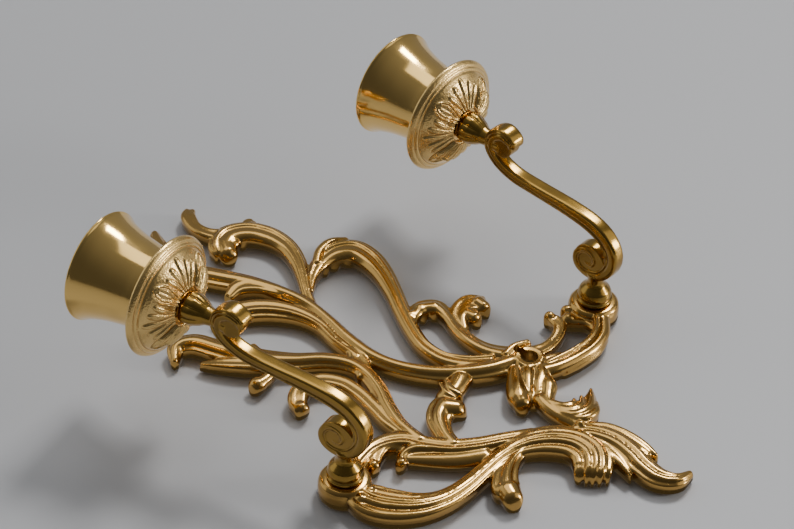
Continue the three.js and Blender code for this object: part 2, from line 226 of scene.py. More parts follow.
def fuse(obj: bpy.types.Object, voxel: float, smoothing: int, most_triangles: int) -> None:
    """Turns overlapping shells into one cast body with soft junctions.

    Args:
        obj: The joined shells.
        voxel: The finest detail kept, in millimetres.
        smoothing: Rounds of smoothing over the voxel steps.
        most_triangles: The body is thinned to fewer triangles than this.
    """
    apply_modifier(obj, "REMESH", mode="VOXEL", voxel_size=voxel * MM, adaptivity=0.0)
    apply_modifier(obj, "SMOOTH", factor=SOFTENING, iterations=smoothing)
    triangles = 2 * len(obj.data.polygons)
    LOG.info("fused %s, %d triangles before thinning", obj.name, triangles)
    if triangles > most_triangles:
        apply_modifier(obj, "DECIMATE", ratio=most_triangles / triangles)
        apply_modifier(obj, "SMOOTH", factor=SETTLING, iterations=2)


def smooth_shaded(obj: bpy.types.Object, degrees: float = 40.0) -> None:
    """Shades an object smooth, except across edges sharper than an angle.

    Args:
        obj: The object to shade.
        degrees: The sharpest turn still shaded smooth.
    """
    only(obj)
    bpy.ops.object.shade_smooth_by_angle(angle=math.radians(degrees))


def ridge(distance: np.ndarray, width: float) -> np.ndarray:
    """Gives a smooth ridge's height, 1 on its line and 0 far off.

    Args:
        distance: Distance from the ridge's line.
        width: How far off the height has dropped to about a third.

    Returns:
        The height, 0 to 1.
    """
    return np.exp(-(distance / width) ** 2)


def blunt_end(along: np.ndarray, start: float) -> np.ndarray:
    """Rounds off the far end of a leaf.

    Args:
        along: Place along the leaf, 0 to 1.
        start: Where the rounding starts, 0 to 1.

    Returns:
        The leaf's width there, as a share.
    """
    past = ((along - start) / (1.0 - start)).clip(0.0)
    return np.sqrt((1.0 - past ** 2).clip(0.0))


def clamped(value: float) -> float:
    """Holds a number between 0 and 1."""
    return min(1.0, max(0.0, value))


STRAIGHT_WITHIN = 0.02
LONGEST_FILLET = 0.48


def fillet(corners: Sequence[Row], steps: int = 6) -> list[Point]:
    """Rounds the corners of a closed outline.

    Args:
        corners: Rows of x, y and the corner's radius, in millimetres.
        steps: Straight pieces in each rounded corner.

    Returns:
        The outline's points, in order.
    """
    points: list[Point] = []
    count = len(corners)
    for i, (x, y, radius) in enumerate(corners):
        here = Vector((x, y))
        back = Vector(corners[i - 1][:2]) - here
        ahead = Vector(corners[(i + 1) % count][:2]) - here
        turn = back.angle(ahead)
        if radius <= 0.0 or turn > math.pi - STRAIGHT_WITHIN:
            points.append((x, y))
            continue
        reach = min(radius / math.tan(turn / 2), back.length * LONGEST_FILLET,
                    ahead.length * LONGEST_FILLET)
        start = here + back.normalized() * reach
        end = here + ahead.normalized() * reach
        for step in range(steps + 1):
            t = step / steps
            point = start.lerp(here, t).lerp(here.lerp(end, t), t)
            points.append((point.x, point.y))
    return points


def spun(name: str, outline: Sequence[Point], segments: int = 128) -> bpy.types.Object:
    """Spins a closed outline about the Z axis, as on a lathe.

    Args:
        name: The new object's name.
        outline: Points of radius and height, in millimetres.
        segments: Flats around the turned piece.

    Returns:
        The turned, closed object.
    """
    bpy.ops.object.select_all(action="DESELECT")
    bpy.ops.mesh.primitive_circle_add(vertices=len(outline), radius=1.0)
    obj = bpy.context.object
    obj.name = name
    for vertex, (radius, height) in zip(obj.data.vertices, outline):
        vertex.co = (radius * MM, 0.0, height * MM)
    bpy.ops.object.mode_set(mode="EDIT")
    bpy.ops.mesh.select_all(action="SELECT")
    bpy.ops.mesh.spin(steps=segments, angle=2 * math.pi, center=(0, 0, 0), axis=(0, 0, 1))
    bpy.ops.object.mode_set(mode="OBJECT")
    return close_up(obj)


# ---------------------------------------------------------------------------- scroll strips


@dataclass(frozen=True)
class Strip:
    """One scroll of the casting: a low body with round strands laid along it, as on an acanthus.

    Rows are x, z, half width and height off the wall, in millimetres, measured from the wall
    point midway between the two arm pivots. Strands are the widths of the strands across the
    scroll, as shares, from its right to its left; with one strand it is a plain round bar. Tips
    make each strand's end longer or shorter, in millimetres. Crowning is how much lower the outer
    strands lie. Roll is the length, in millimetres, over which the far end rolls down to the wall.
    """

    rows: tuple[Row, ...]
    strands: tuple[float, ...] = (1,)
    tips: tuple[float, ...] = ()
    crowning: float = 0.42
    roll: float = 0.0

    # Stations along a strand and cells round its section.
    SPACING = 0.5
    CROWN_CELLS = 16
    BACK_CELLS = 4

    # A strand's section: how steep its flanks are, its width at the wall and its round cap.
    FLANK_SPREAD = 1.04
    UNDERCUT = 0.72
    CAP_TO_WIDTH = 0.95
    CAP_TO_HEIGHT = 0.62

    # Rounded ends: the shortest, the longest of a plain bar, and how full they are.
    SHORTEST_END = 0.3
    PLAIN_NOSE = 9.0
    END_FULLNESS = 0.8

    # The low body under the strands, and the strands laid on it.
    BODY_WIDTH = 0.94
    BODY_HEIGHT = 0.87
    BODY_SET_BACK = 0.6
    BODY_NOSE = 1.5
    STRAND_NOSE = 1.6
    OVERLAP = 1.16

    def path(self, offset: float, share: float, extra: float,
             nose: float) -> tuple[np.ndarray, ...]:
        """Works out stations along one strand, with its ends rounded off.

        Args:
            offset: Where the strand lies across the scroll, -1 to 1.
            share: Its half width as a share of the scroll's.
            extra: How much further than the scroll it runs, in millimetres.
            nose: The longest that a rounded end may be, in millimetres.

        Returns:
            Centres, unit tangents, half widths and heights, in millimetres.
        """
        fine = smooth_rows(np.array(self.rows, dtype=float))
        along = np.gradient(fine[:, :2], axis=0)
        along /= np.linalg.norm(along, axis=1, keepdims=True)
        line = fine[:, :2] + offset * fine[:, 2:3] * np.stack([-along[:, 1], along[:, 0]], axis=1)
        length = np.concatenate([[0.0], np.cumsum(np.hypot(*np.diff(line, axis=0).T))])
        total = length[-1] + min(extra, 0.0)
        reach = max(extra, 0.0)
        first = min(max(fine[0, 2] * share, self.SHORTEST_END), nose)
        end_width = float(np.interp(total, length, fine[:, 2]))
        last = min(max(end_width * share, self.SHORTEST_END), nose)
        rolled = max(self.roll - last, 0.0)
        total -= rolled
        last += rolled + reach
        stations = np.append(np.arange(-first, total + last, self.SPACING), total + last)
        held = np.clip(stations, 0.0, total)
        values = np.stack([np.interp(held, length, k) for k in (*line.T, *fine[:, 2:].T)], axis=1)
        tangent = np.stack([np.interp(held, length, k) for k in np.gradient(line, axis=0).T], axis=1)
        tangent /= np.linalg.norm(tangent, axis=1, keepdims=True)
        centres = values[:, :2] + (stations - held)[:, None] * tangent
        beyond = np.where(stations < 0.0, -stations / first, (stations - total).clip(0.0) / last)
        rounding = np.sqrt((1.0 - beyond.clip(0.0, 1.0) ** 2).clip(0.0))
        taper = rounding ** self.END_FULLNESS
        return centres, tangent, values[:, 2] * share * taper, values[:, 3] * taper

    def strand(self, offset: float, share: float, extra: float, lift: float,
               nose: float = PLAIN_NOSE) -> bpy.types.Object:
        """Makes one strand as a closed half-round shell standing on the wall plane.

        Args:
            offset: Where the strand lies across the scroll, -1 to 1.
            share: Its half width as a share of the scroll's.
            extra: How much further than the scroll it runs, in millimetres.
            lift: Its height as a share of the scroll's.
            nose: The longest that a rounded end may be, in millimetres.

        Returns:
            The strand's object.
        """
        centres, tangents, widths, heights = self.path(offset, share, extra, nose)
        last = len(centres) - 1
        cells = self.CROWN_CELLS + self.BACK_CELLS

        def form(u: np.ndarray, v: np.ndarray) -> np.ndarray:
            """Rolls the grid into the closed section at each station.

            Args:
                u: Place round the section, 0 to 1.
                v: Place along the strand, 0 to 1.

            Returns:
                The points, in metres.
            """
            at = np.rint(v * last).astype(int)
            around = np.rint(u * cells)
            theta = math.pi * (np.minimum(around / self.CROWN_CELLS, 1.0) - 0.5)
            under = (around >= self.CROWN_CELLS) | (around <= 0)
            back = ((around - self.CROWN_CELLS) / self.BACK_CELLS).clip(0.0, 1.0)
            wall = self.UNDERCUT * (1.0 - 2.0 * back)
            wall = np.where(around <= 0, -self.UNDERCUT, wall)
            flank = np.clip(theta * self.FLANK_SPREAD, -math.pi / 2, math.pi / 2)
            across = np.where(under, wall, np.sin(flank))
            width, top = widths[at], heights[at] * lift
            cap = np.minimum(self.CAP_TO_WIDTH * width, self.CAP_TO_HEIGHT * top)
            tall = np.where(under, 0.0, top - cap * (1.0 - np.abs(np.cos(theta))))
            x = centres[at, 0] - tangents[at, 1] * across * width
            z = centres[at, 1] + tangents[at, 0] * across * width
            return np.stack([x, -tall, z], axis=1) * MM + np.array([0.0, 0.0, BOSS_LINE_Z])

        shell = new_grid("strand", cells, last)
        shape_mesh(shell, form)
        return shell

    def build(self) -> list[bpy.types.Object]:
        """Makes the scroll's body and its strands.

        Returns:
            The strands' objects, ready to be joined.
        """
        if len(self.strands) == 1:
            return [self.strand(0.0, 1.0, 0.0, 1.0)]
        tips = self.tips or (0.0,) * len(self.strands)
        short = min(*tips, 0.0) - self.BODY_SET_BACK
        made = [self.strand(0.0, self.BODY_WIDTH, short, self.BODY_HEIGHT, self.BODY_NOSE)]
        edges = np.concatenate([[0.0], np.cumsum(self.strands)]) / sum(self.strands) * 2.0 - 1.0
        for low, high, extra in zip(edges, edges[1:], tips):
            middle, half = (low + high) / 2, (high - low) / 2
            lift = 1.0 - self.crowning * middle ** 2
            made.append(self.strand(middle, half * self.OVERLAP, extra, lift, self.STRAND_NOSE))
        return made


def smooth_rows(rows: np.ndarray, steps: int = 14) -> np.ndarray:
    """Runs a smooth curve through control rows.

    Args:
        rows: One row of numbers for each control point.
        steps: Points made between two rows.

    Returns:
        The finer rows.
    """
    padded = np.vstack([2 * rows[0] - rows[1], rows, 2 * rows[-1] - rows[-2]])
    t = (np.arange(steps) / steps)[:, None]
    fine = []
    for a, b, c, d in zip(padded, padded[1:], padded[2:], padded[3:]):
        fine.append(0.5 * (2 * b + (c - a) * t + (2 * a - 5 * b + 4 * c - d) * t ** 2
                           + (3 * b - a - 3 * c + d) * t ** 3))
    return np.vstack([*fine, rows[-1:]])


BEAD_HALF = 0.3


def bead(x: float, z: float, radius: float, height: float) -> Strip:
    """Makes a round bead of the casting, as a very short scroll.

    Args:
        x: Place to the right of the middle, in millimetres.
        z: Height above the line of the pivots, in millimetres.
        radius: The bead's radius, in millimetres.
        height: How far it stands off the wall, in millimetres.

    Returns:
        The bead's scroll.
    """
    return Strip(((x - BEAD_HALF, z, radius, height), (x + BEAD_HALF, z, radius, height)))


def lobe(root: Row, tip: Row) -> Strip:
    """Makes a rounded scallop of a leaf's edge.

    Args:
        root: The scallop's row at its root, on the crown of the leaf.
        tip: Its row at its tip.

    Returns:
        The scallop's scroll.
    """
    return Strip((root, tip))


# Scrolls of the casting, by their place on it.
STRIPS: tuple[Strip, ...] = (
    # The main stem and the two tall arches on its right.
    Strip(((20, 0, 4, 6.5), (12, 3, 3.8, 6.5), (5, 7.5, 3.6, 6.5), (-3, 15, 3.4, 6.4),
           (-9, 25, 3.1, 6.2), (-11.6, 35, 3, 6), (-11.3, 47, 2.9, 6), (-9.6, 58, 2.7, 6),
           (-8.8, 68, 2.6, 6), (-10.4, 78, 3, 6), (-14.5, 89, 3.8, 6), (-20.5, 100, 4.4, 6),
           (-25.5, 110, 4.2, 5.8), (-26, 120, 3.6, 5.4), (-22.5, 128, 2.8, 4.8), (-19.5, 133.5, 1.6, 4)),
          strands=(0.8, 2.6, 0.9)),
    Strip(((-8, 66, 1.6, 5), (-4.5, 73, 1.9, 5.4), (0.5, 80, 2.4, 5.8), (4.8, 87, 3, 6),
           (7.6, 95, 3.6, 6.2), (7.2, 103, 4.4, 6.4), (3.4, 110, 4.8, 6.8), (-3, 113.4, 4.8, 6.8),
           (-8.6, 111.5, 4.4, 6.6), (-11, 108, 3, 5.6)), strands=(0.8, 0.9, 2.3), tips=(0.4, 0, -0.6)),
    Strip(((-4, 113, 3.6, 6.2), (-7.4, 119, 2.5, 6), (-8, 125, 2.3, 5.6), (-5.6, 131, 2.6, 5.2),
           (-2.4, 133.8, 1.9, 4.2)), strands=(1, 1)),
    lobe((-7.4, 111, 4.4, 6.3), (-9.2, 107.4, 3.8, 6.2)),
    lobe((0.4, 112.4, 3.4, 6), (-0.6, 109.8, 3, 6)), bead(-4.6, 109.6, 2.6, 5.8),
    Strip(((3, 110, 2.4, 6), (6.5, 113.5, 2, 5.4), (9, 113.5, 1.5, 4.6)), strands=(1, 1)),
    Strip(((-3, 73.5, 1.4, 5), (3, 78, 2, 5.4), (9.5, 80.9, 3.2, 6), (16.5, 81.2, 4.6, 6.8),
           (22.4, 77.6, 5, 6.8), (23.4, 70.5, 4.6, 6.4), (21.2, 62, 3.8, 6.2), (17, 53, 3.2, 6),
           (12, 44, 3, 6), (7.6, 35.5, 2.8, 6), (4.5, 27, 2.8, 6), (4.6, 18.5, 3, 6),
           (8.5, 11, 3.4, 6.2), (15, 5, 3.6, 6.4)), strands=(2.3, 0.9, 0.8)),
    lobe((9.6, 80.4, 2.4, 5.4), (9.4, 79.4, 2.5, 5.6)),
    lobe((14.6, 80.6, 3, 5.8), (14.2, 79.5, 3, 5.9)),
    lobe((20.2, 79.6, 3.8, 6), (19.6, 77.6, 3.6, 6.2)),
    Strip(((8, 81, 1.6, 6), (13, 84.2, 2, 6.6), (18.6, 84.8, 2, 6.8), (23.6, 82, 1.6, 6.2))),
    # The loop and the little volute beside the rosette.
    Strip(((8.5, 36.5, 1.8, 5), (12.5, 39.6, 2.4, 5.8), (17.5, 40.2, 3, 6.2), (21.4, 37, 3, 6.2),
           (21, 31.5, 2.4, 5.8), (18.8, 25.5, 2.3, 5.6), (17.4, 18.5, 2.5, 5.8), (17.8, 11.5, 2.8, 6),
           (20.5, 5.5, 3.2, 6.2), (24.5, 1, 3.4, 6.4)), strands=(1.7, 0.8)),
    lobe((12.4, 40, 2.2, 5.8), (12, 39, 2.1, 5.6)),
    lobe((16.8, 40.2, 2.6, 6.1), (16.2, 38.8, 2.4, 5.9)),
    lobe((20.8, 37.4, 2.6, 6.1), (19.8, 36.4, 2.3, 5.9)),
    Strip(((18, 18, 1.8, 4.8), (19.8, 24.6, 2.2, 5.2), (24.4, 30, 2.8, 5.8), (30.6, 31, 3.2, 6.2),
           (34.2, 27.4, 2.9, 6)), strands=(1, 1)),
    Strip(((20.6, 23, 1.5, 4.6), (24, 27.2, 1.9, 5.4), (28.6, 28, 1.9, 5.6), (31, 25.6, 1.2, 5))),
    lobe((33, 28.6, 2.6, 6.4), (32.8, 25.6, 2.4, 6.2)),
    lobe((26.6, 27.6, 2.4, 5.8), (26.8, 24.2, 2.5, 6)),
    # The rosette's petals and bud round the keyhole, on a ground that fills between them.
    Strip(((22, -7, 4, 5), (16, -11, 4.6, 5), (12, -15.6, 3.4, 4.8))),
    Strip(((17, -3, 2.2, 6.2), (13, -7, 3.4, 6.5), (8.8, -11.8, 4.1, 6.9), (7.2, -14.6, 3.2, 6.3))),
    Strip(((15, -5.6, 0.9, 6.4), (11, -9.6, 1.1, 7.0), (7.4, -14, 0.8, 6.7))),
    Strip(((21, -5, 2.6, 6.4), (17, -8.6, 2.4, 6.8), (13.2, -12.2, 1.4, 6.2), (11, -14.8, 0.6, 5.4))),
    Strip(((24, -7, 2.8, 6.4), (21, -11, 2.4, 6.8), (17, -13.4, 1.8, 6.4), (13.6, -16.4, 0.8, 5.6))),
    Strip(((24, -7, 2.6, 6.6), (29, -8.6, 2.4, 6.6), (33.6, -9.4, 1.3, 6)), strands=(1, 1)),
    Strip(((20.6, -13, 2.4, 6.4), (18.8, -16.2, 3, 6.8), (15.4, -18.8, 2.6, 6.2), (12.4, -21.5, 2.6, 6))),
    Strip(((19, 3.4, 1.1, 6.8), (24, 4, 1.3, 7), (29.5, 2.4, 1.1, 6.4))),
    # The shell leaf on its stem.
    Strip(((12.6, -18, 2.6, 6), (11.8, -22, 2.8, 6), (11.6, -27, 2.9, 6), (12.4, -33.4, 2.9, 6))),
    Strip(((12, -25, 3, 5.4), (14.8, -31.4, 4.6, 5.6), (20.4, -31.2, 4.4, 5.4), (25.4, -28.6, 2.3, 4.4),
           (28.6, -26.2, 0.8, 3.4))),
    Strip(((12.8, -21, 1.6, 6), (14.6, -26.2, 1.5, 6.6), (17.6, -27.7, 1.4, 6.5),
           (20.8, -25.6, 0.6, 4.6))),
    Strip(((12.4, -23, 1.6, 6), (14, -28.8, 1.5, 6.9), (18.4, -30.2, 1.4, 6.7), (23.4, -26.4, 0.6, 4.6))),
    Strip(((11.8, -25.5, 1.7, 6), (13.8, -31.6, 1.7, 7), (19.6, -32.8, 1.5, 6.8), (25, -29.4, 1.1, 5.4),
           (29, -25.8, 0.5, 3.8))),
    Strip(((11.6, -28.5, 1.8, 6), (14.6, -34.6, 1.6, 6.8), (20.4, -35.1, 1.4, 6.2),
           (25, -31.6, 0.7, 4.4))),
    # The ring that carries the right boss.
    Strip(((22, -9, 3.4, 6.4), (28, -12, 2.8, 6.4), (36, -13.6, 2.6, 6.4), (44, -13.7, 2.6, 6.4),
           (51, -11.6, 2.6, 6.4), (56.6, -6.6, 2.8, 6.4), (59, -3, 3.4, 6.6))),
    Strip(((30, -13.6, 2.2, 4.6), (36, -14.6, 2.2, 4.6), (44, -14.7, 2.2, 4.6), (50, -12.9, 2, 4.6))),
    Strip(((26, -9, 0.8, 6.6), (36, -11, 0.7, 6.9), (44, -11.1, 0.7, 6.9), (50, -9.2, 0.7, 6.9),
           (54.4, -5.4, 0.8, 6.9), (57, -2, 0.8, 6.8))),
    Strip(((26, -1, 3, 6.2), (33, -2.6, 2.3, 5.6), (39.5, -1.6, 2.1, 5.4), (44, 1.2, 2.2, 5.6),
           (45.4, 5.4, 2.1, 5.6)), strands=(1, 1)),
    bead(45.2, 6.6, 2, 6), bead(48.8, 1.4, 2.4, 6.2), bead(51.6, 4.6, 2.1, 6),
    Strip(((49, 0, 2, 5.4), (52, -4, 1.8, 5), (51.6, -10, 1.8, 5))),
    Strip(((50, 1, 2.2, 5.6), (56, 0.5, 4.2, 6.2), (60, 0, 5, 6.4)), strands=(1, 1)),
    # The lower band from the left boss to the fluted acanthus and the last leaf.
    Strip(((-60, -4, 4.6, 6.6), (-60, -11, 6.4, 6.8), (-57, -17.4, 6.6, 7), (-51.5, -23.4, 5.4, 6.8),
           (-44, -27.1, 4.1, 6.4), (-35, -28.2, 3.4, 6.2), (-25, -27.6, 3, 6.2), (-16, -27, 3.2, 6.2),
           (-7.5, -28.4, 4.6, 6.6), (-0.2, -32.8, 5.9, 7), (4.6, -39.2, 6.5, 7.2), (5, -45.6, 6.8, 7.2),
           (1.6, -50.4, 6.4, 7), (-2, -52.6, 5.6, 6)), strands=(1.5, 0.9, 0.9, 0.9, 0.8),
          tips=(0.3, 0.8, 0.6, 0, -1), crowning=0.25, roll=3.6),
    Strip(((8.4, -36, 3, 6.6), (12.8, -42, 4.3, 7), (14.8, -49, 4.6, 7.1), (14.2, -56, 4.5, 7),
           (12.9, -62, 4.3, 6.6), (13, -68.2, 4, 6), (16.4, -72.8, 3, 5.4), (22.6, -73.8, 1.1, 4)),
          strands=(1, 1.4, 1.4, 1)),
    Strip(((12, -37, 2.4, 6.2), (16.6, -42.6, 2.8, 6.6), (18.6, -49.6, 2.8, 6.6), (19, -56.6, 2.4, 6.2),
           (18.8, -61.4, 1.6, 5.4)), strands=(1, 1), tips=(-1.5, 0)),
    Strip(((11, -44, 2.6, 6.6), (10.8, -50, 2.7, 6.6), (9.6, -56, 2.3, 6.2), (7.6, -61.6, 1.1, 5)),
          strands=(1, 1), tips=(0, -1.5)),
    Strip(((-8, -29.6, 1.8, 5.6), (-15, -30.8, 2.6, 6), (-21.2, -33.6, 3.9, 6.6),
           (-25.2, -37, 4.6, 6.8), (-25.8, -38.8, 4.2, 6.2)), strands=(1.2, 1.3, 1),
          tips=(0.4, 0, 0.6)),
    lobe((-25.8, -38.6, 4.4, 7), (-27, -41.2, 3.8, 6.7)), bead(11.6, -36.2, 1.7, 7.5),
    # The shell of pleats below the left boss, and the upper band that starts at the boss.
    Strip(((-58.6, -6, 1.6, 6.4), (-55.4, -11, 2.4, 6.4), (-54.2, -16, 1.9, 5.8),
           (-50.6, -20.4, 1.1, 5.4)), strands=(1, 1)),
    bead(-62.4, -9.4, 2.2, 7), bead(-57.6, -9, 2, 7),
    Strip(((-53, 2, 2.2, 6.4), (-48, 3.4, 2.6, 6.6), (-43, 4, 3, 6.6), (-37.6, 2.6, 3.7, 6.6),
           (-33, -1, 4, 6.6), (-29.6, -7, 3.8, 6.4), (-24.6, -13.4, 3.8, 6.4), (-17.6, -18.8, 3.6, 6.4),
           (-9.6, -23.4, 3.4, 6.4), (-2, -28.4, 3.6, 6.4)), strands=(0.8, 0.9, 2.2)),
    Strip(((-35.4, 0, 2, 6), (-40, 2.2, 2.1, 6.4), (-44.4, 1.2, 2, 6.2), (-47.8, -1.4, 1.5, 5.6)),
          strands=(1, 1)),
    bead(-48.2, -1.2, 2, 6.2),
    Strip(((-30, -9, 2.2, 6), (-33.6, -5.4, 2.3, 6.2), (-37.6, -4.4, 2, 5.8), (-40.4, -6, 1.5, 5)),
          strands=(1, 1.8, 1)),
    bead(-40.8, -6.4, 1.9, 5.6),
    Strip(((-37.6, -6.2, 2.2, 4.8), (-32.4, -11.4, 3, 5), (-26.4, -17.2, 3.6, 5.2),
           (-19, -22.2, 3.8, 5.4))),
    # The post between the two bands, with its collar.
    Strip(((-23.4, -13, 3, 6.2), (-21.4, -6.6, 3.2, 6.2), (-17.6, -0.8, 4.1, 6.4),
           (-12.6, 1.6, 4.7, 6.7), (-10.2, 0, 4.2, 6.6)), strands=(0.8, 1.8, 0.8)),
    lobe((-12.4, 1.4, 4.4, 6.9), (-9.8, -1.6, 3.6, 6.5)),
    Strip(((1, 7, 4.2, 6.4), (-4, 5, 3.8, 6.4), (-9, 4.4, 3.4, 6.2))),
    Strip(((-4, 9, 0.9, 6.6), (-6.2, 4.8, 0.9, 6.9), (-5.4, 0.8, 0.9, 6.4))),
    Strip(((-6.4, 9.4, 0.7, 6.4), (-8.4, 4.8, 0.7, 6.8), (-7.6, 0.6, 0.7, 6.2))),
    # The left stem, its leaves and curls.
    Strip(((-29.4, -4, 2.7, 6.2), (-28.6, 6, 2.8, 6.2), (-25.6, 14.6, 3, 6.2), (-21.6, 22.6, 3, 6.2),
           (-19.2, 31, 3, 6.2), (-20, 38.4, 3.2, 6.2), (-24.6, 45.4, 3.5, 6.2), (-31.6, 51.6, 4, 6.2),
           (-37.4, 58.4, 4.6, 6.2), (-42, 66, 4.6, 6.2), (-45.6, 74, 4.2, 6.2), (-49, 81.6, 4.1, 6.2),
           (-54.6, 84, 3.2, 5.8), (-59.6, 79.6, 1.3, 4.4)), strands=(0.9, 2.4, 0.8)),
    Strip(((-40, 57, 2.6, 5.6), (-45, 62.6, 2.7, 5.8), (-50, 68.4, 2, 5.2), (-54, 73.2, 0.7, 4)),
          strands=(1, 1)),
    Strip(((-37, 54.6, 2.2, 5.6), (-43, 52.4, 2, 5.4), (-46, 52.2, 2.2, 5.4))),
    bead(-47.6, 52.6, 2.9, 5.6),
    Strip(((-38, 60, 2, 5.6), (-36.4, 66.6, 1.5, 5))),
    Strip(((-30.4, 2, 2.4, 6), (-30.4, 10, 2.4, 6), (-28.8, 18, 2.5, 6), (-27.6, 26, 2.6, 6),
           (-28.2, 33, 2.7, 6), (-32, 38.8, 2.8, 6), (-38, 40.6, 3, 6), (-43.4, 38.2, 3.2, 6),
           (-45.8, 34.2, 2.4, 5.4)), strands=(1, 1), tips=(0.6, 0)),
    bead(-45.4, 34.2, 2.5, 5.8),
    Strip(((-21, 30, 2.2, 5.8), (-16.6, 36, 3.2, 6), (-13, 43, 2.4, 5.8)), strands=(1, 1)),
    Strip(((-15, 38, 1.8, 5.8), (-15, 48, 1.9, 5.8), (-13.4, 58, 2.2, 6), (-14.4, 66, 3, 6.2),
           (-18, 73.6, 4, 6.4), (-23.4, 79.4, 4.4, 6.4), (-30, 83, 4.2, 6.2), (-34.5, 84.4, 2.6, 5.4)),
          strands=(2, 0.9, 0.8)),
    Strip(((-10.6, 78, 2, 6), (-14.2, 86, 3, 6.4), (-19.4, 90.4, 3, 6.4), (-25, 90, 1.8, 5.4)),
          strands=(1, 1)),
)


# ---------------------------------------------------------------------------- finishes


class NodeCanvas:
    """A small helper that places and links shader nodes in one tree."""

    COLOUR_MIX_INPUTS = (0, 6, 7)
    COLOUR_MIX_OUTPUT = 2

    def __init__(self, tree: bpy.types.NodeTree) -> None:
        """Starts with an empty tree.

        Args:
            tree: The node tree to fill.
        """
        self.tree = tree
        tree.nodes.clear()

    def add(self, kind: str, values: dict | None = None, **settings: object) -> bpy.types.Node:
        """Adds a node.

        Args:
            kind: The node's type name without its ShaderNode prefix.
            values: Values or links for its inputs, by name or index.
            **settings: Values for its own properties.

        Returns:
            The new node.
        """
        prefix = "" if kind.startswith("NodeGroup") else "ShaderNode"
        node = self.tree.nodes.new(prefix + kind)
        for key, value in settings.items():
            setattr(node, key, value)
        for key, value in (values or {}).items():
            self.feed(node.inputs[key], value)
        return node

    def feed(self, socket: bpy.types.NodeSocket, value: object) -> None:
        """Links a socket, or sets its value.

        Args:
            socket: The input socket.
            value: Another node's output socket, or a plain value.
        """
        if isinstance(value, bpy.types.NodeSocket):
            self.tree.links.new(value, socket)
        else:
            socket.default_value = value

    def maths(self, operation: str, first: object, second: object = 0.0, third: float = 0.0,
              clamp: bool = False) -> bpy.types.NodeSocket:
        """Adds a Math node and gives its result.

        Args:
            operation: Blender's name for the operation.
            first: First value or link.
            second: Second value or link.
            third: Third value, for an operation that takes three.
            clamp: Whether to hold the result between 0 and 1.

        Returns:
            The result socket.
        """
        values = {0: first, 1: second, 2: third}
        node = self.add("Math", values, operation=operation, use_clamp=clamp)
        return node.outputs[0]

    def mix(self, amount: object, low: object, high: object) -> bpy.types.NodeSocket:
        """Mixes two colours.

        Args:
            amount: 0 gives the first colour, 1 the second.
            low: First colour or link.
            high: Second colour or link.

        Returns:
            The mixed colour's socket.
        """
        node = self.add("Mix", data_type="RGBA")
        for index, value in zip(self.COLOUR_MIX_INPUTS, (amount, low, high)):
            self.feed(node.inputs[index], value)
        return node.outputs[self.COLOUR_MIX_OUTPUT]


def new_group(name: str, inputs: dict[str, float],
              outputs: Iterable[str]) -> tuple[NodeCanvas, bpy.types.Node]:
    """Starts a shader node group with number sockets.

    Args:
        name: The group's name.
        inputs: Each input's name and default.
        outputs: Each output's name.

    Returns:
        The canvas and the group's input node.
    """
    tree = bpy.data.node_groups.new(name, "ShaderNodeTree")
    number = "NodeSocketFloat"
    for label, default in inputs.items():
        socket = tree.interface.new_socket(label, in_out="INPUT", socket_type=number)
        socket.default_value = default
    for label in outputs:
        tree.interface.new_socket(label, in_out="OUTPUT", socket_type=number)
    canvas = NodeCanvas(tree)
    return canvas, canvas.add("NodeGroupInput")


# Pointiness of a flat face, and where a hollow and a crest begin on either side of it.
FLAT = 0.5
HOLLOW_FROM = 0.497
CREST_FROM = 0.503


def relief_group() -> bpy.types.NodeTree:
    """Builds the group for recesses, where old polish and lacquer stay and shade is painted, and worn
    crests.

    Returns:
        The node group, with outputs Recess and Crest.
    """
    canvas, given = new_group("relief_masks", {"Spread": 0.06}, ("Recess", "Crest"))
    point = canvas.add("NewGeometry").outputs["Pointiness"]
    low = canvas.maths("SUBTRACT", FLAT, given.outputs["Spread"])
    high = canvas.maths("ADD", FLAT, given.outputs["Spread"])
    masks = []
    for begin, full in ((HOLLOW_FROM, low), (CREST_FROM, high)):
        span = {"Value": point, "From Min": begin, "From Max": full, "To Min": 0.0, "To Max": 1.0}
        masks.append(canvas.add("MapRange", span).outputs[0])
    canvas.add("NodeGroupOutput", {0: masks[0], 1: masks[1]})
    return canvas.tree


PIT_SCALE = 2200.0


def polish_group() -> bpy.types.NodeTree:
    """Builds the group for fine buffing marks and slow changes in the polish.

    Returns:
        The node group, with outputs Marks, Cloud and Pits.
    """
    scales = {"Mark Scale": 900.0, "Cloud Scale": 60.0}
    canvas, given = new_group("buffed_polish", scales, ("Marks", "Cloud", "Pits"))
    place = canvas.add("TexCoord").outputs["Object"]
    drawn_out = {"Vector": place, "Rotation": (0.4, 0.7, 0.2), "Scale": (1.0, 1.0, 0.12)}
    turned = canvas.add("Mapping", drawn_out).outputs[0]
    layers = ((turned, given.outputs["Mark Scale"], 4.0), (place, given.outputs["Cloud Scale"], 3.0),
              (place, PIT_SCALE, 2.0))
    noises = {}
    for index, (vector, scale, detail) in enumerate(layers):
        noise = canvas.add("TexNoise", {"Vector": vector, "Scale": scale, "Detail": detail})
        noises[index] = noise.outputs[0]
    canvas.add("NodeGroupOutput", noises)
    return canvas.tree


class Effects:
    """Shader groups shared by the brass finishes, each built once."""

    def __init__(self) -> None:
        """Builds the groups."""
        self.relief = relief_group()
        self.polish = polish_group()


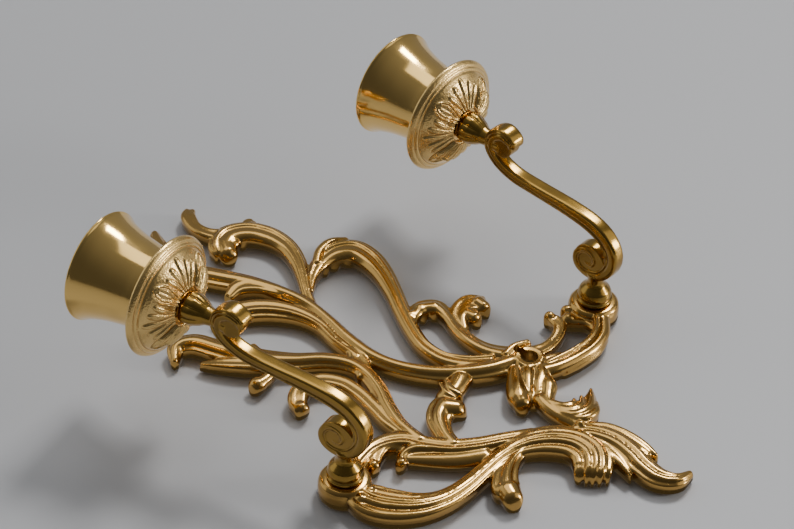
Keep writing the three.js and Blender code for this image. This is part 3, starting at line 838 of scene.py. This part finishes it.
@dataclass(frozen=True)
class Brass:
    """A brass finish: its colours, its gloss and how far painted shade and tarnish darken its hollows.

    Grain is the depth of its fine marks, in metres, and stipple the share that a punched ground
    adds to them.
    """

    name: str
    polished: tuple[float, float, float]
    # The second colour is what the hollows darken to: painted shade together with tarnish.
    shade_and_tarnish_colour: tuple[float, float, float]
    roughness: float
    # How far the hollows darken, with painted shade and tarnish.
    recess_shade_and_tarnish: float = 0.6
    relief_spread: float = 0.05
    grain: float = 0.000004
    stipple: float = 0.0
    coat: float = 0.15

    CREST_BRIGHTNESS = 1.12
    CREST_WEAR = 0.5
    CLOUD_CONTRAST = 0.5
    CLOUD_LEVEL = -0.1
    CLOUD_STAIN = 0.12
    MARK_ROUGHNESS = 0.08
    RECESS_ROUGHNESS = 0.14
    MARK_SHARE = 0.35
    PIT_SHARE = 0.65
    STIPPLE_SCALE = 1500.0
    COAT_ROUGHNESS = 0.12

    def build(self, effects: Effects) -> bpy.types.Material:
        """Makes the material.

        Args:
            effects: The shared shader groups.

        Returns:
            The finished material.
        """
        material = bpy.data.materials.new(self.name)
        material.use_nodes = True
        canvas = NodeCanvas(material.node_tree)
        relief = canvas.add("Group", {}, node_tree=effects.relief)
        relief.inputs["Spread"].default_value = self.relief_spread
        polish = canvas.add("Group", {}, node_tree=effects.polish)
        recess = relief.outputs["Recess"]
        cloud = canvas.maths("MULTIPLY_ADD", polish.outputs["Cloud"], self.CLOUD_CONTRAST,
                             self.CLOUD_LEVEL)
        # Painted shade: the hollows are darkened towards the second colour. This stands for the shade that
        # falls in them as well as their tarnish.
        hollow_shade_and_tarnish = canvas.maths("MULTIPLY", recess, self.recess_shade_and_tarnish)
        cloud = canvas.maths("MULTIPLY", cloud, self.CLOUD_STAIN)
        # The hollows' painted shade and tarnish, plus random stain clouds.
        shade_tarnish_and_stain = canvas.maths("ADD", hollow_shade_and_tarnish, cloud, clamp=True)
        colour = canvas.mix(shade_tarnish_and_stain, (*self.polished, 1.0), (*self.shade_and_tarnish_colour, 1.0))
        bright = tuple(min(1.0, c * self.CREST_BRIGHTNESS) for c in self.polished)
        wear = canvas.maths("MULTIPLY", relief.outputs["Crest"], self.CREST_WEAR)
        worn = canvas.mix(wear, colour, (*bright, 1.0))
        rough = canvas.maths("MULTIPLY_ADD", polish.outputs["Marks"], self.MARK_ROUGHNESS,
                             self.roughness - self.MARK_ROUGHNESS / 2)
        dull = canvas.maths("MULTIPLY", recess, self.RECESS_ROUGHNESS)
        rough = canvas.maths("ADD", rough, dull, clamp=True)
        height = canvas.maths("MULTIPLY", polish.outputs["Marks"], self.MARK_SHARE)
        pits = canvas.maths("MULTIPLY", polish.outputs["Pits"], self.PIT_SHARE)
        height = canvas.maths("ADD", height, pits)
        if self.stipple:
            place = canvas.add("TexCoord").outputs["Object"]
            cells = canvas.add("TexVoronoi", {"Vector": place, "Scale": self.STIPPLE_SCALE})
            punched = canvas.maths("MULTIPLY", cells.outputs["Distance"], self.stipple)
            height = canvas.maths("ADD", height, punched)
        bump = canvas.add("Bump", {"Height": height, "Distance": self.grain, "Strength": 1.0})
        shader = canvas.add("BsdfPrincipled", {
            "Base Color": worn, "Roughness": rough, "Normal": bump.outputs[0], "Metallic": 1.0,
            "Coat Weight": self.coat, "Coat Roughness": self.COAT_ROUGHNESS,
        })
        canvas.add("OutputMaterial", {"Surface": shader.outputs[0]})
        return material


# Each finish's second colour and its darkening paint shade into the hollows, together with tarnish.
CAST_BRASS = Brass("cast_brass", (0.6, 0.355, 0.098), (0.15, 0.07, 0.018), 0.19, recess_shade_and_tarnish=0.65)
ARM_BRASS = Brass("polished_brass", (0.44, 0.26, 0.054), (0.12, 0.055, 0.012), 0.2, recess_shade_and_tarnish=0.75)
PAN_BRASS = Brass("chased_brass", (0.94, 0.63, 0.23), (0.26, 0.13, 0.04), 0.26, recess_shade_and_tarnish=0.75,
                  stipple=1.6, grain=0.00003)
CUP_BRASS = Brass("turned_brass", (0.98, 0.64, 0.2), (0.34, 0.18, 0.05), 0.13, recess_shade_and_tarnish=0.3,
                  grain=0.000003)
SCREW_BRASS = Brass("hardware_brass", (0.6, 0.4, 0.15), (0.14, 0.07, 0.02), 0.3, recess_shade_and_tarnish=0.7)


# ---------------------------------------------------------------------------- casting


def turn_out(obj: bpy.types.Object) -> None:
    """Turns a piece made about +Z so that it stands out from the wall, about -Y."""
    obj.data.transform(Matrix.Rotation(QUARTER_TURN, 4, "X"))


TOOL_SEGMENTS = 48


def cutter(name: str, outline: Sequence[Point], x: float, z: float) -> bpy.types.Object:
    """Makes a turned cutting tool that stands out from the wall.

    Args:
        name: The tool's name.
        outline: Closed outline of radius and distance out, in millimetres.
        x: Place to the right of the middle, in millimetres.
        z: Height above the line of the pivots, in millimetres.

    Returns:
        The tool.
    """
    tool = spun(name, outline, TOOL_SEGMENTS)
    turn_out(tool)
    tool.data.transform(Matrix.Translation((x * MM, 0.0, z * MM + BOSS_LINE_Z)))
    return tool


def cut(obj: bpy.types.Object, tool: bpy.types.Object) -> None:
    """Cuts a tool's shape out of an object and deletes the tool."""
    apply_modifier(obj, "BOOLEAN", operation="DIFFERENCE", object=tool, solver="EXACT")
    bpy.data.objects.remove(tool)


@dataclass
class Casting:
    """The backplate: scrolls and leaves cast in one piece, with a boss for each arm."""

    boss_radius: float = 8.7
    boss_height: float = 7.2
    recess_radius: float = 5.4
    recess_depth: float = 3.4
    bore: float = 2.3
    keyhole: Point = (23.6, -3.2)
    keyhole_radius: float = 3.0
    slot_half_width: float = 1.5
    slot_length: float = 5.2
    voxel: float = 0.3
    smoothing: int = 8
    most_triangles: int = 190_000
    tool_reach: float = 20.0
    tool_behind: float = 5.0

    def bosses(self) -> list[bpy.types.Object]:
        """Turns the two bosses, each with a ring moulding round its top.

        Returns:
            The bosses, left and right.
        """
        top, radius = self.boss_height, self.boss_radius
        outline = fillet([
            (0, 0, 0), (radius, 0, 0), (radius, top - 2.4, 0.4), (radius - 0.4, top - 2.1, 0.15),
            (radius - 0.15, top - 1.4, 0.5), (radius - 1.2, top - 0.3, 1.1),
            (radius - 3.2, top, 1), (0, top, 0),
        ])
        return [cutter("boss", outline, sign * BOSS_X / MM, 0.0) for sign in (-1, 1)]

    def keyhole_collar(self) -> bpy.types.Object:
        """Turns the smooth collar round the wall screw's hole.

        Returns:
            The collar.
        """
        outline = fillet([(0, 0, 0), (5.4, 0, 0), (5.3, 5.8, 0.8), (4.6, 6.7, 0.6),
                          (3.6, 6.4, 0.5), (0, 6.3, 0)])
        return cutter("collar", outline, *self.keyhole)

    def keyhole_slot(self) -> bpy.types.Object:
        """Makes the tool for the slot above the wall screw's hole.

        Returns:
            The tool.
        """
        bpy.ops.object.select_all(action="DESELECT")
        bpy.ops.mesh.primitive_cylinder_add(vertices=32, radius=self.slot_half_width * MM,
                                            depth=2 * self.tool_reach * MM,
                                            rotation=(QUARTER_TURN, 0, 0))
        tool = bpy.context.object
        bpy.ops.object.transform_apply(location=True, rotation=True, scale=True)
        for vertex in tool.data.vertices:
            if vertex.co.z > MERGE_DISTANCE:
                vertex.co.z += self.slot_length * MM
        place = Vector((self.keyhole[0] * MM, 0.0, self.keyhole[1] * MM + BOSS_LINE_Z))
        tool.data.transform(Matrix.Translation(place))
        return tool

    def build(self, effects: Effects) -> bpy.types.Object:
        """Makes the casting and dresses it.

        Args:
            effects: The shared shader groups.

        Returns:
            The finished backplate.
        """
        shells = [shell for strip in STRIPS for shell in strip.build()]
        shells += [*self.bosses(), self.keyhole_collar()]
        plate = close_up(join("scrollwork_casting", shells))
        fuse(plate, self.voxel, self.smoothing, self.most_triangles)
        radius, reach = self.keyhole_radius, self.tool_reach
        hole = [(0, -reach), (radius, -reach), (radius, reach), (0, reach)]
        cut(plate, cutter("hole", hole, *self.keyhole))
        cut(plate, self.keyhole_slot())
        radius, depth, behind = self.recess_radius, self.recess_depth, self.tool_behind
        recess = [(0, -behind), (radius, -behind), (radius, depth), (self.bore, depth),
                  (self.bore, reach), (0, reach)]
        for sign in (-1, 1):
            cut(plate, cutter("recess", recess, sign * BOSS_X / MM, 0.0))
        self.flatten_back(plate)
        smooth_shaded(plate, degrees=50)
        plate.data.materials.clear()
        plate.data.materials.append(CAST_BRASS.build(effects))
        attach(plate, "plate")
        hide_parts("backplate")
        return plate

    @staticmethod
    def flatten_back(plate: bpy.types.Object) -> None:
        """Files the back flat, so that nothing passes the wall plane."""
        for vertex in plate.data.vertices:
            vertex.co.y = min(vertex.co.y, 0.0)


# ---------------------------------------------------------------------------- arm


@dataclass
class Arm:
    """An arm: S-scroll strap, ball foot, snail volute below, rolled scroll and bud knob above.

    Everything is drawn upright about the pivot: rows of the strap are distance out, height, half
    thickness and half width, in millimetres.
    """

    side: Side
    thickness: float = 4.4
    width: float = 5.2
    foot_start: float = 7.5
    ball_radius: float = 5.7
    ball_out: float = 10.0
    knob_top: float = 61.0
    voxel: float = 0.15
    smoothing: int = 2
    most_triangles: int = 170_000
    section_cells: int = 200

    # The strap's section: how square it is, and the two grooves down each flank.
    SQUARENESS = 0.42
    FLANK_FROM = 0.8
    GROOVES = (0.3, 0.7)
    GROOVE_WIDTH = 0.1
    GROOVE_DEPTH = 0.17

    # Radius, half thickness, distance out and height of the webs in the two volutes.
    WEBS = ((6.6, 2.3, 24.0, 1.8), (4.6, 2.5, 50.6, 43.0))

    # The bud's petals on the knob, between two heights above the pivot.
    PETALS = 8
    PETAL_DEPTH = 0.11
    PETAL_FULLNESS = 0.6
    PETALS_FROM = 51.6
    PETALS_TO = 60.8
    PETAL_RISE = 3.0
    PETAL_FALL = 1.4

    def rows(self) -> np.ndarray:
        """Gives the strap's control rows, from the lower snail's end to the upper scroll's.

        Returns:
            Rows of distance out, height, half thickness and half width, in millimetres.
        """
        t, w = self.thickness / 2, self.width / 2
        return np.array([
            (24.4, 3.2, 0.7, 2.2), (22.9, 3.1, 0.8, 2.4), (22.9, 1.1, 0.9, 2.5), (25.2, 0, 1, w),
            (27.4, 1.6, 1.1, w), (27.4, 4.8, 1.3, w), (24.2, 7.2, 1.8, w), (20.4, 6.4, 2.2, w),
            (18.9, 2.4, t + 0.1, w), (20.6, -2.6, t + 0.2, w), (25.4, -5.9, t + 0.4, w),
            (31, -6, t + 0.6, w), (35.8, -2.4, t + 0.7, w), (38.5, 4, t + 0.6, w),
            (39.6, 14, t + 0.3, w), (39.8, 27, t, w), (40.2, 37, t, w), (42.6, 44, 2.3, w),
            (47, 47.6, 2.4, w + 0.3), (52.2, 47, 2.3, w + 0.6), (55.2, 43, 2.2, w + 0.8),
            (54, 39, 1.9, w + 0.6), (51.6, 38.2, 1.3, w + 0.2),
        ])

    def strap(self) -> bpy.types.Object:
        """Bends the grooved strap along its scroll.

        Returns:
            The strap.
        """
        fine = smooth_rows(self.rows(), 16)
        tangent = np.gradient(fine[:, :2], axis=0)
        tangent /= np.linalg.norm(tangent, axis=1, keepdims=True)
        last = len(fine) - 1

        def form(u: np.ndarray, v: np.ndarray) -> np.ndarray:
            """Rolls the grid round the strap's section at each station.

            Args:
                u: Place round the section, 0 to 1.
                v: Place along the strap, 0 to 1.

            Returns:
                The points, in metres.
            """
            at = np.rint(v * last).astype(int)
            angle = 2 * math.pi * u
            cosine, sine = np.cos(angle), np.sin(angle)
            inward = np.sign(cosine) * np.abs(cosine) ** self.SQUARENESS
            across = np.sign(sine) * np.abs(sine) ** self.SQUARENESS
            on_flank = np.abs(across) > self.FLANK_FROM
            groove = sum(ridge(inward - line, self.GROOVE_WIDTH) for line in self.GROOVES)
            sink = 1.0 - self.GROOVE_DEPTH * np.where(on_flank, groove, 0.0)
            end = np.where((v <= 0.0) | (v >= 1.0), 0.0, 1.0)
            thick, wide = fine[at, 2] * inward * end, fine[at, 3] * across * sink * end
            out = fine[at, 0] - tangent[at, 1] * thick
            up = fine[at, 1] + tangent[at, 0] * thick
            return np.stack([wide, -out, up], axis=1) * MM

        strap = new_grid("strap", self.section_cells, last)
        shape_mesh(strap, form)
        return close_up(strap)

    def web(self, radius: float, half_width: float, out: float, up: float) -> bpy.types.Object:
        """Makes the sunk web that fills a volute between the strap's turns.

        Args:
            radius: The web's radius, in millimetres.
            half_width: Half its thickness.
            out: Its centre's distance from the wall.
            up: Its centre's height above the pivot.

        Returns:
            The web.
        """
        half = half_width
        corners = [(0, -half, 0), (radius, -half, 0.4), (radius, half, 0.4), (0, half, 0)]
        web = spun("web", fillet(corners, 4), 64)
        sideways = Matrix.Rotation(QUARTER_TURN, 4, "Y")
        web.data.transform(Matrix.Translation((0, -out * MM, up * MM)) @ sideways)
        return web

    def foot(self) -> bpy.types.Object:
        """Turns the onion-shaped foot with the bead under it.

        Returns:
            The foot.
        """
        start, radius, centre = self.foot_start, self.ball_radius, self.ball_out
        outline = fillet([
            (0, start, 0), (5.7, start, 0.1), (6.1, start + 0.4, 0.3), (6.1, start + 1.2, 0.3),
            (5.3, start + 1.6, 0.12), (radius, start + 2.0, 0.3), (radius + 0.1, centre + 0.5, 1.0),
            (radius - 0.5, centre + 2.2, 1.6), (radius - 2.3, centre + 4.2, 1.8),
            (2.8, centre + 5.6, 1.2), (2.9, centre + 7.2, 1), (3.4, 19, 0), (0, 19, 0),
        ], 8)
        foot = spun("foot", outline, 96)
        turn_out(foot)
        return foot

    def knob(self) -> bpy.types.Object:
        """Turns the knob under the pan and chases it into an opening bud.

        Returns:
            The knob.
        """
        outline = fillet([
            (0, 44, 0), (3.0, 44, 0), (2.8, 50, 1), (3.2, 52.2, 1), (4.4, 54.2, 1.6), (5.4, 56.6, 2),
            (5.7, 58.9, 1.2), (5.3, 60.4, 0.6), (4.9, self.knob_top, 0.1), (0, self.knob_top, 0),
        ], 8)
        knob = spun("knob", outline, 144)
        for vertex in knob.data.vertices:
            x, y, z = vertex.co
            height = z / MM
            rise = clamped((height - self.PETALS_FROM) / self.PETAL_RISE)
            rise *= clamped((self.PETALS_TO - height) / self.PETAL_FALL)
            wave = abs(math.sin(self.PETALS / 2 * math.atan2(y, x)))
            scale = 1.0 - self.PETAL_DEPTH * rise * (1.0 - wave ** self.PETAL_FULLNESS)
            vertex.co = (x * scale, y * scale, z)
        knob.data.transform(Matrix.Translation((0, -CUP_AXIS_OUT * MM, 0)))
        return knob

    def build(self, effects: Effects) -> bpy.types.Object:
        """Makes the arm and dresses it.

        Args:
            effects: The shared shader groups.

        Returns:
            The finished arm.
        """
        webs = [self.web(*measures) for measures in self.WEBS]
        shells = [self.strap(), *webs, self.foot(), self.knob()]
        arm = join(f"scroll_arm_{self.side.value}", shells)
        fuse(arm, self.voxel, self.smoothing, self.most_triangles)
        arm.data.transform(arm_placement(self.side))
        smooth_shaded(arm, degrees=50)
        arm.data.materials.clear()
        arm.data.materials.append(ARM_BRASS.build(effects))
        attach(arm, f"{self.side.value}_arm")
        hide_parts(f"arm_{self.side.value}")
        return arm


# ---------------------------------------------------------------------------- drip pan


@dataclass
class DripPan:
    """A dished pan, pressed with a ring of leaves underneath and rolled at its rim."""

    side: Side
    ovals: int = 4
    fan_blades: int = 2
    leaf_phase: float = math.radians(-132)
    leaf_start: float = 6.9
    leaf_end: float = 16.9
    oval_half_width: float = 3.2
    relief: float = 0.85
    rings: int = 110
    segments: int = 400

    # Radius and height of the pan's outline, from its hole out to the rim and back inside.
    UNDERSIDE = (
        (2.4, 61.35), (6.3, 61.35), (6.4, 60.45), (6.8, 60.2), (8, 60.7), (10, 61.2), (12, 61.95),
        (14, 63.05), (16, 64.5), (17.2, 65.6), (17.6, 66.3), (18.3, 66.4), (18.9, 67.0),
        (19.7, 67.25), (20.35, 67.9), (20.6, 68.6), (20.4, 69.2), (19.8, 69.5),
    )
    INSIDE = (
        (19.1, 69.2), (18.5, 68.4), (17.9, 67.6), (16.4, 66.0), (14.6, 64.7), (13, 63.65),
        (11.4, 62.9), (9, 62.6), (2.4, 62.6),
    )
    RIM_POINTS = 6
    SEAM = 1e-6

    # An oval leaf: its half width at the root and what it gains along it, its blunt end, and its
    # rim, second line and midrib, each as offset, width and height, on a low ground. The two inner
    # lines stop short of the tip.
    OVAL_SWELL = (0.5, 0.8)
    OVAL_BLUNT_FROM = 0.6
    OVAL_RIM = (0.4, 0.32, 1.0)
    OVAL_SECOND = (1.5, 0.27, 0.85)
    OVAL_MIDRIB = (0.0, 0.24, 0.75)
    OVAL_GROUND = 0.3
    SECOND_STOPS = 0.86
    MIDRIB_STOPS = 0.82

    # A fanned blade: the angle between blades at its root and what it gains along the leaf, its
    # half width in the same way, and the groove down its middle.
    BLADE_SHORTER = 0.11
    BLADE_ANGLE = (0.14, 0.11)
    BLADE_WIDTH = (0.42, 0.8)
    BLADE_LEAST_WIDTH = 0.02
    BLADE_BLUNT_FROM = 0.7
    BLADE_HEIGHT = (0.55, 0.45)
    BLADE_GROOVE = (0.16, 0.35)
    BLADE_GROOVE_FROM = 0.3

    def oval_relief(self, along: np.ndarray, off: np.ndarray) -> np.ndarray:
        """Works out the relief of the oval leaves.

        Args:
            along: Place from a leaf's root to its tip, 0 to 1.
            off: Distance from the nearest leaf's midline, in millimetres.

        Returns:
            The relief, 0 to 1.
        """
        first, gain = self.OVAL_SWELL
        half = self.oval_half_width * (first + gain * along).clip(0.0, 1.0)
        half = half * blunt_end(along, self.OVAL_BLUNT_FROM)
        inset, width, top = self.OVAL_RIM
        rim = top * ridge(half - off - inset, width)
        inset, width, top = self.OVAL_SECOND
        second = top * ridge(half - off - inset, width) * (along < self.SECOND_STOPS)
        inset, width, top = self.OVAL_MIDRIB
        midrib = top * ridge(off - inset, width) * (along < self.MIDRIB_STOPS)
        oval = np.maximum.reduce([rim, second, midrib, np.full_like(rim, self.OVAL_GROUND)])
        within = (along > 0.0) & (along < 1.0)
        return np.where(within & (off < half), oval, 0.0)

    def blade_relief(self, along: np.ndarray, fan_angle: np.ndarray, radius: np.ndarray,
                     place: int) -> np.ndarray:
        """Works out the relief of one blade in every fan.

        Args:
            along: Place from a leaf's root to its tip, 0 to 1.
            fan_angle: Angle from the nearest fan's midline, in radians.
            radius: Distance from the pan's axis, in millimetres.
            place: The blade's place in its fan, 0 in the middle.

        Returns:
            The relief, 0 to 1.
        """
        end = 1.0 - self.BLADE_SHORTER * abs(place)
        reach = (along / end).clip(0.0, 1.0)
        first, gain = self.BLADE_ANGLE
        away = np.abs(fan_angle - place * (first + gain * along)) * radius
        first, gain = self.BLADE_WIDTH
        wide = (first + gain * reach) * blunt_end(reach, self.BLADE_BLUNT_FROM)
        wide = wide + self.BLADE_LEAST_WIDTH
        first, gain = self.BLADE_HEIGHT
        blade = np.sqrt((1.0 - (away / wide) ** 2).clip(0.0)) * (first + gain * reach)
        width, sink = self.BLADE_GROOVE
        blade *= 1.0 - sink * ridge(away, width) * (reach > self.BLADE_GROOVE_FROM)
        return np.where((along > 0.0) & (along < end), blade, 0.0)

    def leaf_height(self, radius: np.ndarray, angle: np.ndarray) -> np.ndarray:
        """Works out the pressed leaves' height below the pan.

        Args:
            radius: Distance from the pan's axis, in millimetres.
            angle: Angle round the axis, in radians.

        Returns:
            The relief, in millimetres.
        """
        sector = 2 * math.pi / self.ovals
        turn = (angle - self.leaf_phase) / sector
        along = ((radius - self.leaf_start) / (self.leaf_end - self.leaf_start)).clip(0.0, 1.0)
        off = np.abs(turn - np.floor(turn + 0.5)) * sector * radius
        relief = self.oval_relief(along, off)
        fan_angle = (turn - np.floor(turn) - 0.5) * sector
        for place in range(-self.fan_blades, self.fan_blades + 1):
            relief = np.maximum(relief, self.blade_relief(along, fan_angle, radius, place))
        return self.relief * relief

    def build(self, effects: Effects) -> bpy.types.Object:
        """Makes the pan and dresses it.

        Args:
            effects: The shared shader groups.

        Returns:
            The finished pan.
        """
        outline = np.array(self.UNDERSIDE + self.INSIDE + self.UNDERSIDE[:1])
        lengths = np.concatenate([[0.0], np.cumsum(np.hypot(*np.diff(outline, axis=0).T))])

        def form(u: np.ndarray, v: np.ndarray) -> np.ndarray:
            """Spins the outline and presses the leaves into its underside.

            Args:
                u: Place round the outline, 0 to 1.
                v: Place round the pan's axis, 0 to 1.

            Returns:
                The points, in metres.
            """
            at = u * lengths[-1]
            radius = np.interp(at, lengths, outline[:, 0])
            height = np.interp(at, lengths, outline[:, 1])
            angle = 2 * math.pi * v
            under = at < lengths[len(self.UNDERSIDE) - self.RIM_POINTS]
            height = height - np.where(under, self.leaf_height(radius, angle), 0.0)
            x, y = radius * np.cos(angle), radius * np.sin(angle)
            return np.stack([x, y, height], axis=1) * MM

        pan = new_grid(f"leaf_drip_pan_{self.side.value}", self.rings * 2, self.segments)
        shape_mesh(pan, form)
        close_up(pan, self.SEAM)
        pan.data.transform(cup_placement(self.side))
        smooth_shaded(pan, degrees=55)
        pan.data.materials.append(PAN_BRASS.build(effects))
        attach(pan, f"{self.side.value}_pan")
        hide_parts(f"drip_pan_{self.side.value}")
        return pan


# ---------------------------------------------------------------------------- candle cup


@dataclass
class CandleCup:
    """A turned cup with a flared mouth and a rolled lip, bored for a taper candle.

    Base is its height above the pivot, and the counterbore's radius and web sink the screw's head.
    """

    side: Side
    base: float = 62.9
    body_radius: float = 13.9
    mouth_radius: float = 18.68
    mouth_height: float = 94.2
    bore_radius: float = 11.7
    floor: float = 3.4
    counterbore: Point = (4.3, 1.1)
    screw_bore: float = 2.3

    CURVE_STEPS = 8
    SEGMENTS = 192

    def outline(self) -> list[Point]:
        """Draws the cup's closed outline.

        Returns:
            Points of radius and height, in millimetres.
        """
        body, mouth, top = self.body_radius, self.mouth_radius, self.mouth_height
        bore, base = self.bore_radius, self.base
        floor = base + self.floor
        outside = smooth_rows(np.array([
            (9.8, base), (11.3, base + 0.9), (12.3, base + 2.8), (body - 0.8, base + 5.4),
            (body - 0.26, base + 8.0), (body - 0.14, base + 8.4), (body - 0.12, base + 8.9),
            (body - 0.08, base + 11), (body + 0.04, base + 13.5), (body + 0.5, base + 17),
            (body + 1.4, base + 22), (body + 2.8, base + 27), (mouth - 0.7, base + 30),
            (mouth - 0.1, base + 30.9), (mouth, top), (mouth - 0.35, top + 0.45),
            (mouth - 1.0, top + 0.35), (mouth - 1.7, top - 0.7),
        ]), self.CURVE_STEPS)
        inside = smooth_rows(np.array([
            (mouth - 1.7, top - 0.7), (mouth - 2.9, top - 3.4), (mouth - 4.3, 87),
            (bore + 1.1, 83), (bore + 0.1, 79), (bore, 74),
        ]), self.CURVE_STEPS)
        step, web = self.counterbore
        foot = [(bore, floor + 1.4), (bore - 0.4, floor + 0.4), (bore - 1.4, floor),
                (step + 0.15, floor), (step, floor - 0.15), (step, base + web),
                (self.screw_bore, base + web), (self.screw_bore, base)]
        return [tuple(p) for p in (*outside, *inside[1:], *foot)]

    def build(self, effects: Effects) -> bpy.types.Object:
        """Makes the cup and dresses it.

        Args:
            effects: The shared shader groups.

        Returns:
            The finished cup.
        """
        cup = spun(f"flared_candle_cup_{self.side.value}", self.outline(), self.SEGMENTS)
        cup.data.transform(cup_placement(self.side))
        smooth_shaded(cup)
        cup.data.materials.append(CUP_BRASS.build(effects))
        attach(cup, f"{self.side.value}_cup")
        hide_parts(f"candle_cup_{self.side.value}")
        return cup


# ---------------------------------------------------------------------------- hardware


def dress_hardware(effects: Effects) -> None:
    """Gives the carried-over screws and washers their finish.

    Args:
        effects: The shared shader groups.
    """
    finish = SCREW_BRASS.build(effects)
    for node in frame["nodes"].values():
        if "screw" in node.name or "washer" in node.name:
            node.data.materials.clear()
            node.data.materials.append(finish)


# ---------------------------------------------------------------------------- studio


@dataclass
class Studio:
    """Pale ground, soft lights and the camera; lengths are in metres, the lens in millimetres."""

    focal_length: float = 128.0
    sensor: float = 36.0
    camera_place: tuple[float, float, float] = (-0.5128, -0.6404, -0.4453)
    camera_right: tuple[float, float, float] = (0.69303, -0.02383, -0.72051)
    camera_down: tuple[float, float, float] = (-0.45916, 0.75591, -0.46666)
    ground_gap: float = 0.0008
    ground_half: float = 1.6
    see_through: float = 0.004
    dim_glow: float = 0.075
    pale_glow: float = 0.255

    GROUND_COLOUR = (0.57, 0.57, 0.58, 1)
    GROUND_ROUGHNESS = 0.45
    GLOW_COLOUR = (0.93, 0.96, 1.0, 1.0)
    PALE_SIDE = (0.55, -0.45, 0.7)

    def ground(self) -> None:
        """Lays the pale ground behind the sconce; seen from behind, it isn't there."""
        bpy.ops.object.select_all(action="DESELECT")
        bpy.ops.mesh.primitive_plane_add(size=2 * self.ground_half, location=(0, self.ground_gap, 0),
                                         rotation=(QUARTER_TURN, 0, 0))
        plane = bpy.context.object
        plane.name = "ground"
        material = bpy.data.materials.new("pale_ground")
        material.use_nodes = True
        canvas = NodeCanvas(material.node_tree)
        path = canvas.add("LightPath")
        near = canvas.maths("LESS_THAN", path.outputs["Ray Length"], self.see_through)
        unseen = canvas.maths("SUBTRACT", 1.0, path.outputs["Is Camera Ray"])
        near = canvas.maths("MULTIPLY", near, unseen)
        hidden = canvas.maths("MAXIMUM", near, canvas.add("NewGeometry").outputs["Backfacing"])
        pale = canvas.add("BsdfPrincipled", {"Base Color": self.GROUND_COLOUR,
                                             "Roughness": self.GROUND_ROUGHNESS})
        clear = canvas.add("BsdfTransparent")
        blend = canvas.add("MixShader", {0: hidden, 1: pale.outputs[0], 2: clear.outputs[0]})
        canvas.add("OutputMaterial", {"Surface": blend.outputs[0]})
        plane.data.materials.append(material)

    def softbox(self, name: str, place: Row, size: Point, power: float,
                colour: Row = (1, 1, 1)) -> None:
        """Hangs a soft rectangular light that faces the sconce.

        Args:
            name: The light's name.
            place: Where it hangs, in metres.
            size: Its width and height, in metres.
            power: Its power, in watts.
            colour: Its colour.
        """
        data = bpy.data.lights.new(name, "AREA")
        data.shape = "RECTANGLE"
        data.size, data.size_y = size
        data.energy = power
        data.color = colour
        light = bpy.data.objects.new(name, data)
        bpy.context.scene.collection.objects.link(light)
        light.location = place
        light.rotation_euler = (-Vector(place)).to_track_quat("-Z", "Y").to_euler()

    def lights(self) -> None:
        """Hangs the soft lights."""
        self.softbox("window", (1.2, -1.0, -1.3), (1.9, 1.5), 6.0, (1.0, 0.98, 0.95))
        self.softbox("overhead", (0.5, -2.1, 1.0), (1.3, 1.0), 6.2)
        self.softbox("far_window", (-0.8, -0.9, 1.7), (2.2, 1.4), 5.6, (0.92, 0.96, 1.0))
        self.softbox("glint", (0.9, -1.3, 0.3), (0.3, 0.4), 11.0)
        self.softbox("side_glint", (0.9, -0.35, -1.0), (0.4, 0.25), 7.0)

    def room(self) -> None:
        """Sets the room's own glow: pale beyond the sconce and above it, dim on the near side."""
        world = bpy.data.worlds.new("room")
        world.use_nodes = True
        canvas = NodeCanvas(world.node_tree)
        where = canvas.add("TexCoord").outputs["Generated"]
        facing = canvas.add("VectorMath", {0: where, 1: self.PALE_SIDE}, operation="DOT_PRODUCT")
        glow = canvas.add("MapRange", {"Value": facing.outputs["Value"], "From Min": -0.5, "From Max": 1.0,
                                       "To Min": self.dim_glow, "To Max": self.pale_glow})
        glow.interpolation_type = "SMOOTHSTEP"
        back = canvas.add("Background", {"Color": self.GLOW_COLOUR, "Strength": glow.outputs[0]})
        canvas.add("OutputWorld", {"Surface": back.outputs[0]})
        bpy.context.scene.world = world

    def camera(self) -> None:
        """Sets up the camera."""
        data = bpy.data.cameras.new("camera")
        data.lens, data.sensor_width = self.focal_length, self.sensor
        data.clip_start, data.clip_end = 0.01, 20.0
        camera = bpy.data.objects.new("camera", data)
        bpy.context.scene.collection.objects.link(camera)
        right = Vector(self.camera_right).normalized()
        up = -(Vector(self.camera_down) - right * right.dot(self.camera_down)).normalized()
        turn = Matrix((right, up, right.cross(up))).transposed().to_4x4()
        camera.matrix_world = Matrix.Translation(self.camera_place) @ turn
        bpy.context.scene.camera = camera

    def build(self) -> None:
        """Sets up the whole studio."""
        self.ground()
        self.lights()
        self.room()
        self.camera()


# ---------------------------------------------------------------------------- assembly


def main() -> None:
    """Builds the sconce piece by piece, then the studio round it."""
    logging.basicConfig(level=logging.INFO, format="%(name)s: %(message)s")
    effects = Effects()
    makers: list[Casting | Arm | DripPan | CandleCup] = [Casting()]
    for side in Side:
        makers += [Arm(side), DripPan(side), CandleCup(side)]
    for maker in makers:
        piece = maker.build(effects)
        LOG.info("made %s, %d faces", piece.name, len(piece.data.polygons))
    dress_hardware(effects)
    LOG.info("dressed the screws and washers")
    Studio().build()


if __name__ == "__main__":
    main()
